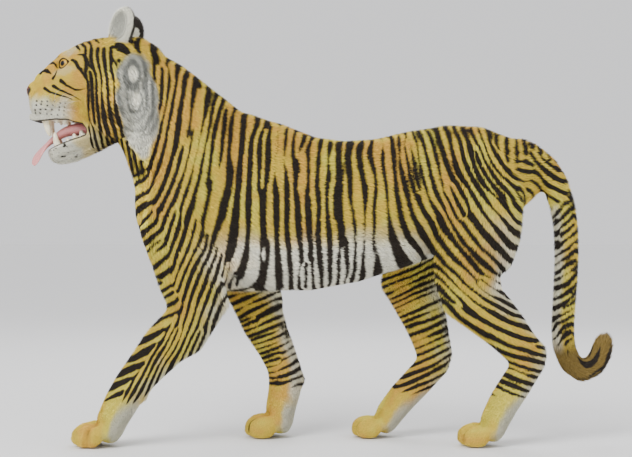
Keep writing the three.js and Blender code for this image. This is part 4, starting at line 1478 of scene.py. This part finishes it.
def tooth_material():
    """Ivory with darker, yellower patches."""
    ivory = srgb(236, 226, 196)
    material, tree, shader = new_material("ivory", {
        "Base Color": (*ivory, 1), "Roughness": 0.3, "Coat Weight": 0.4,
    })
    patches = {"Vector": object_place(tree), "Scale": 70.0, "Detail": 4.0}
    stain = node(tree, "ShaderNodeTexNoise", patches).outputs["Fac"]
    colours = ramp(tree, stain, [(0.3, srgb(212, 190, 140)), (0.55, ivory), (1.0, srgb(242, 236, 214))])
    tree.links.new(colours, shader.inputs["Base Color"])
    return material


def smooth_shading():
    """A modifier's node group that shades a piece smooth."""
    group = bpy.data.node_groups.new("smooth_shading", "GeometryNodeTree")
    for way in ("INPUT", "OUTPUT"):
        group.interface.new_socket("Geometry", in_out=way, socket_type="NodeSocketGeometry")
    flat = node(group, "NodeGroupInput").outputs[0]
    shaded = node(group, "GeometryNodeSetShadeSmooth", {"Geometry": flat}).outputs[0]
    node(group, "NodeGroupOutput", {0: shaded})
    return group


def dress_teeth():
    """Ivory and rounded crowns for the CAD nodes of the teeth, whose own meshes stay as they are."""
    ivory = tooth_material()
    shading = smooth_shading()
    for name in ("upper_teeth", "lower_teeth"):
        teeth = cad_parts[name]
        for finish in teeth.material_slots:
            finish.material = ivory
        teeth.modifiers.new("joining", "WELD").merge_threshold = 0.0002
        rounding = teeth.modifiers.new("rounding", "SUBSURF")
        rounding.levels = 2
        rounding.render_levels = 2
        teeth.modifiers.new("shading", "NODES").node_group = shading


def make_hairs(name, roots, tips, sag, radius, material):
    """Long tapered hairs, as one mesh: each a curved three-sided tube from a root to a tip."""
    steps, sides = 9, 3
    roots, tips, sag = (np.array(rows, float) for rows in (roots, tips, sag))
    share = np.linspace(0, 1, steps)
    line = roots[:, None] + (tips - roots)[:, None] * share[None, :, None]
    line = line + 4 * (share * (1 - share))[None, :, None] * sag[:, None]
    way = unit(np.gradient(line, axis=1))
    first = unit(np.cross(way, (0.2, 0.1, 1)))
    second = np.cross(way, first)
    thick = np.array(radius)[:, None] * (1 - 0.88 * share)[None]
    around = 2 * np.pi * np.arange(sides) / sides
    ring = np.cos(around)[:, None] * first[:, :, None] + np.sin(around)[:, None] * second[:, :, None]
    points = (line[:, :, None] + thick[:, :, None, None] * ring).reshape(-1, 3)
    faces = grid_faces(steps, sides)
    faces = (faces[None] + np.arange(len(roots))[:, None, None] * steps * sides).reshape(-1, 4)
    piece = make_mesh(name, points, faces, material)
    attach(piece, "root")


def make_whiskers():
    """Four rows of whiskers on each side of the muzzle, and a few bristles over each eye."""
    rng = np.random.default_rng(SEED + 9)
    roots, tips, sags, radii = [], [], [], []
    for side in SIDES:
        for root, place in whisker_roots():
            size = (62, 84, 98, 104, 98, 80)[place] * rng.uniform(0.85, 1.12)
            way = (0.86, 0.10 + 0.10 * place, 0.012 * (root[2] - 990))
            way = unit(way + rng.normal(0, 0.06, 3))
            roots.append(root * (side, 1, 1))
            tips.append((root + size * way) * (side, 1, 1))
            sags.append(np.array([4, -0.10 * size, 0.05 * size]) * (side, 1, 1))
            radii.append(0.62 if place > 1 else 0.45)
        for place in range(5):
            root = np.array([40 + 4 * place, -786 + 5 * place, 1150 - 1.5 * place])
            way = unit((0.35 + 0.06 * place, 0.15, 0.75) + rng.normal(0, 0.08, 3))
            roots.append(root * (side, 1, 1))
            tips.append((root + 46 * way) * (side, 1, 1))
            sags.append(np.array([5, -6, 3]) * (side, 1, 1))
            radii.append(0.4)
    material = plain_material("whiskers", srgb(238, 236, 226), 0.4)
    make_hairs("whiskers", roots, tips, sags, radii, material)


# ---------------------------------------------------------------- floor, light and camera
def make_stage():
    """A wide pale floor, and the studio's even light."""
    mesh = bpy.data.meshes.new("floor")
    far = 60
    mesh.from_pydata([(-far, -far, 0), (far, -far, 0), (far, far, 0), (-far, far, 0)], [], [(0, 1, 2, 3)])
    mesh.materials.append(plain_material("floor", (0.72, 0.72, 0.72), 0.9))
    floor = add_object("floor", mesh)
    world = bpy.data.worlds.new("studio")
    bpy.context.scene.world = world
    world.use_nodes = True
    backdrop = world.node_tree.nodes["Background"].inputs
    backdrop["Color"].default_value = (0.98, 0.98, 1.0, 1)
    backdrop["Strength"].default_value = 1.05


def add_light(name, kind, way, energy, **settings):
    """A light that shines in a direction, `way`."""
    data = bpy.data.lights.new(name, kind)
    data.energy = energy
    for key, value in settings.items():
        setattr(data, key, value)
    light = add_object(name, data)
    light.rotation_euler = Vector(way).to_track_quat("-Z", "Y").to_euler()
    return light


def make_lights():
    """A broad sun as the sky, and three large lamps."""
    add_light("sky", "SUN", (-0.5, 0.35, -1.0), 1.3, angle=np.radians(40))
    for name, place, shines_on, size, watts in (
        ("key", (4.2, -2.6, 4.0), (0, 0, 0.6), 3.0, 320),
        ("fill", (3.0, 3.6, 2.2), (0, 0, 0.6), 3.5, 70),
        ("rim", (-3.4, 0.5, 3.8), (0, 0, 0.8), 2.5, 90),
    ):
        add_light(name, "AREA", Vector(shines_on) - Vector(place), watts, size=size).location = place


# the view: its size in pixels, the millimetres that one shows, and the pixel where the anatomy starts
VIEW = np.array([632, 457])
PIXEL = 2.93
ORIGIN_PIXEL = np.array([330, 446])
LENS, SENSOR = 85, 36


def make_camera():
    """The camera, which looks square on at the left side."""
    data = bpy.data.cameras.new("camera")
    data.lens = LENS
    data.sensor_width = SENSOR
    data.clip_end = 60
    distance = VIEW[0] * PIXEL / 1000 * LENS / SENSOR
    off_y, off_z = (VIEW / 2 - ORIGIN_PIXEL) * PIXEL
    centre = to_frame((0, off_y, -off_z))
    camera = add_object("camera", data)
    camera.location = (distance + 0.1, centre[1], centre[2])
    camera.rotation_euler = Euler((np.pi / 2, 0, np.pi / 2))
    bpy.context.scene.camera = camera


# ---------------------------------------------------------------- the build
flesh = make_flesh()
for sculpt in (sculpt_body, sculpt_legs, sculpt_muzzle, sculpt_nose, sculpt_ears, sculpt_eyes):
    sculpt(flesh)
skin_points, skin_quads = skin_faces(flesh)
skin_places = Places(skin_points, point_normals(skin_points, skin_quads))
skin = make_mesh("skin", skin_points, skin_quads, coat_material("skin", grained=True))
skin_ground, skin_black, skin_bare = markings(skin_places)
set_attribute(skin, "ground", skin_ground)
set_attribute(skin, "black", skin_black)
# painted shade: the skin is darker where fur stands over it than where it is bare
set_attribute(skin, "painted_shade_and_tone", blend(0.72, 1.0, skin_bare))
add_map(skin, unwrap(skin_places))
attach(skin, "root")
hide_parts(*FLESH)
make_coat(skin_places, skin_quads, skin_bare, coat_material("fur"))
eye_surface = eye_material()
for side in SIDES:
    make_eye(side, eye_surface)
make_tongue()
make_whiskers()
dress_teeth()
make_stage()
make_lights()
make_camera()
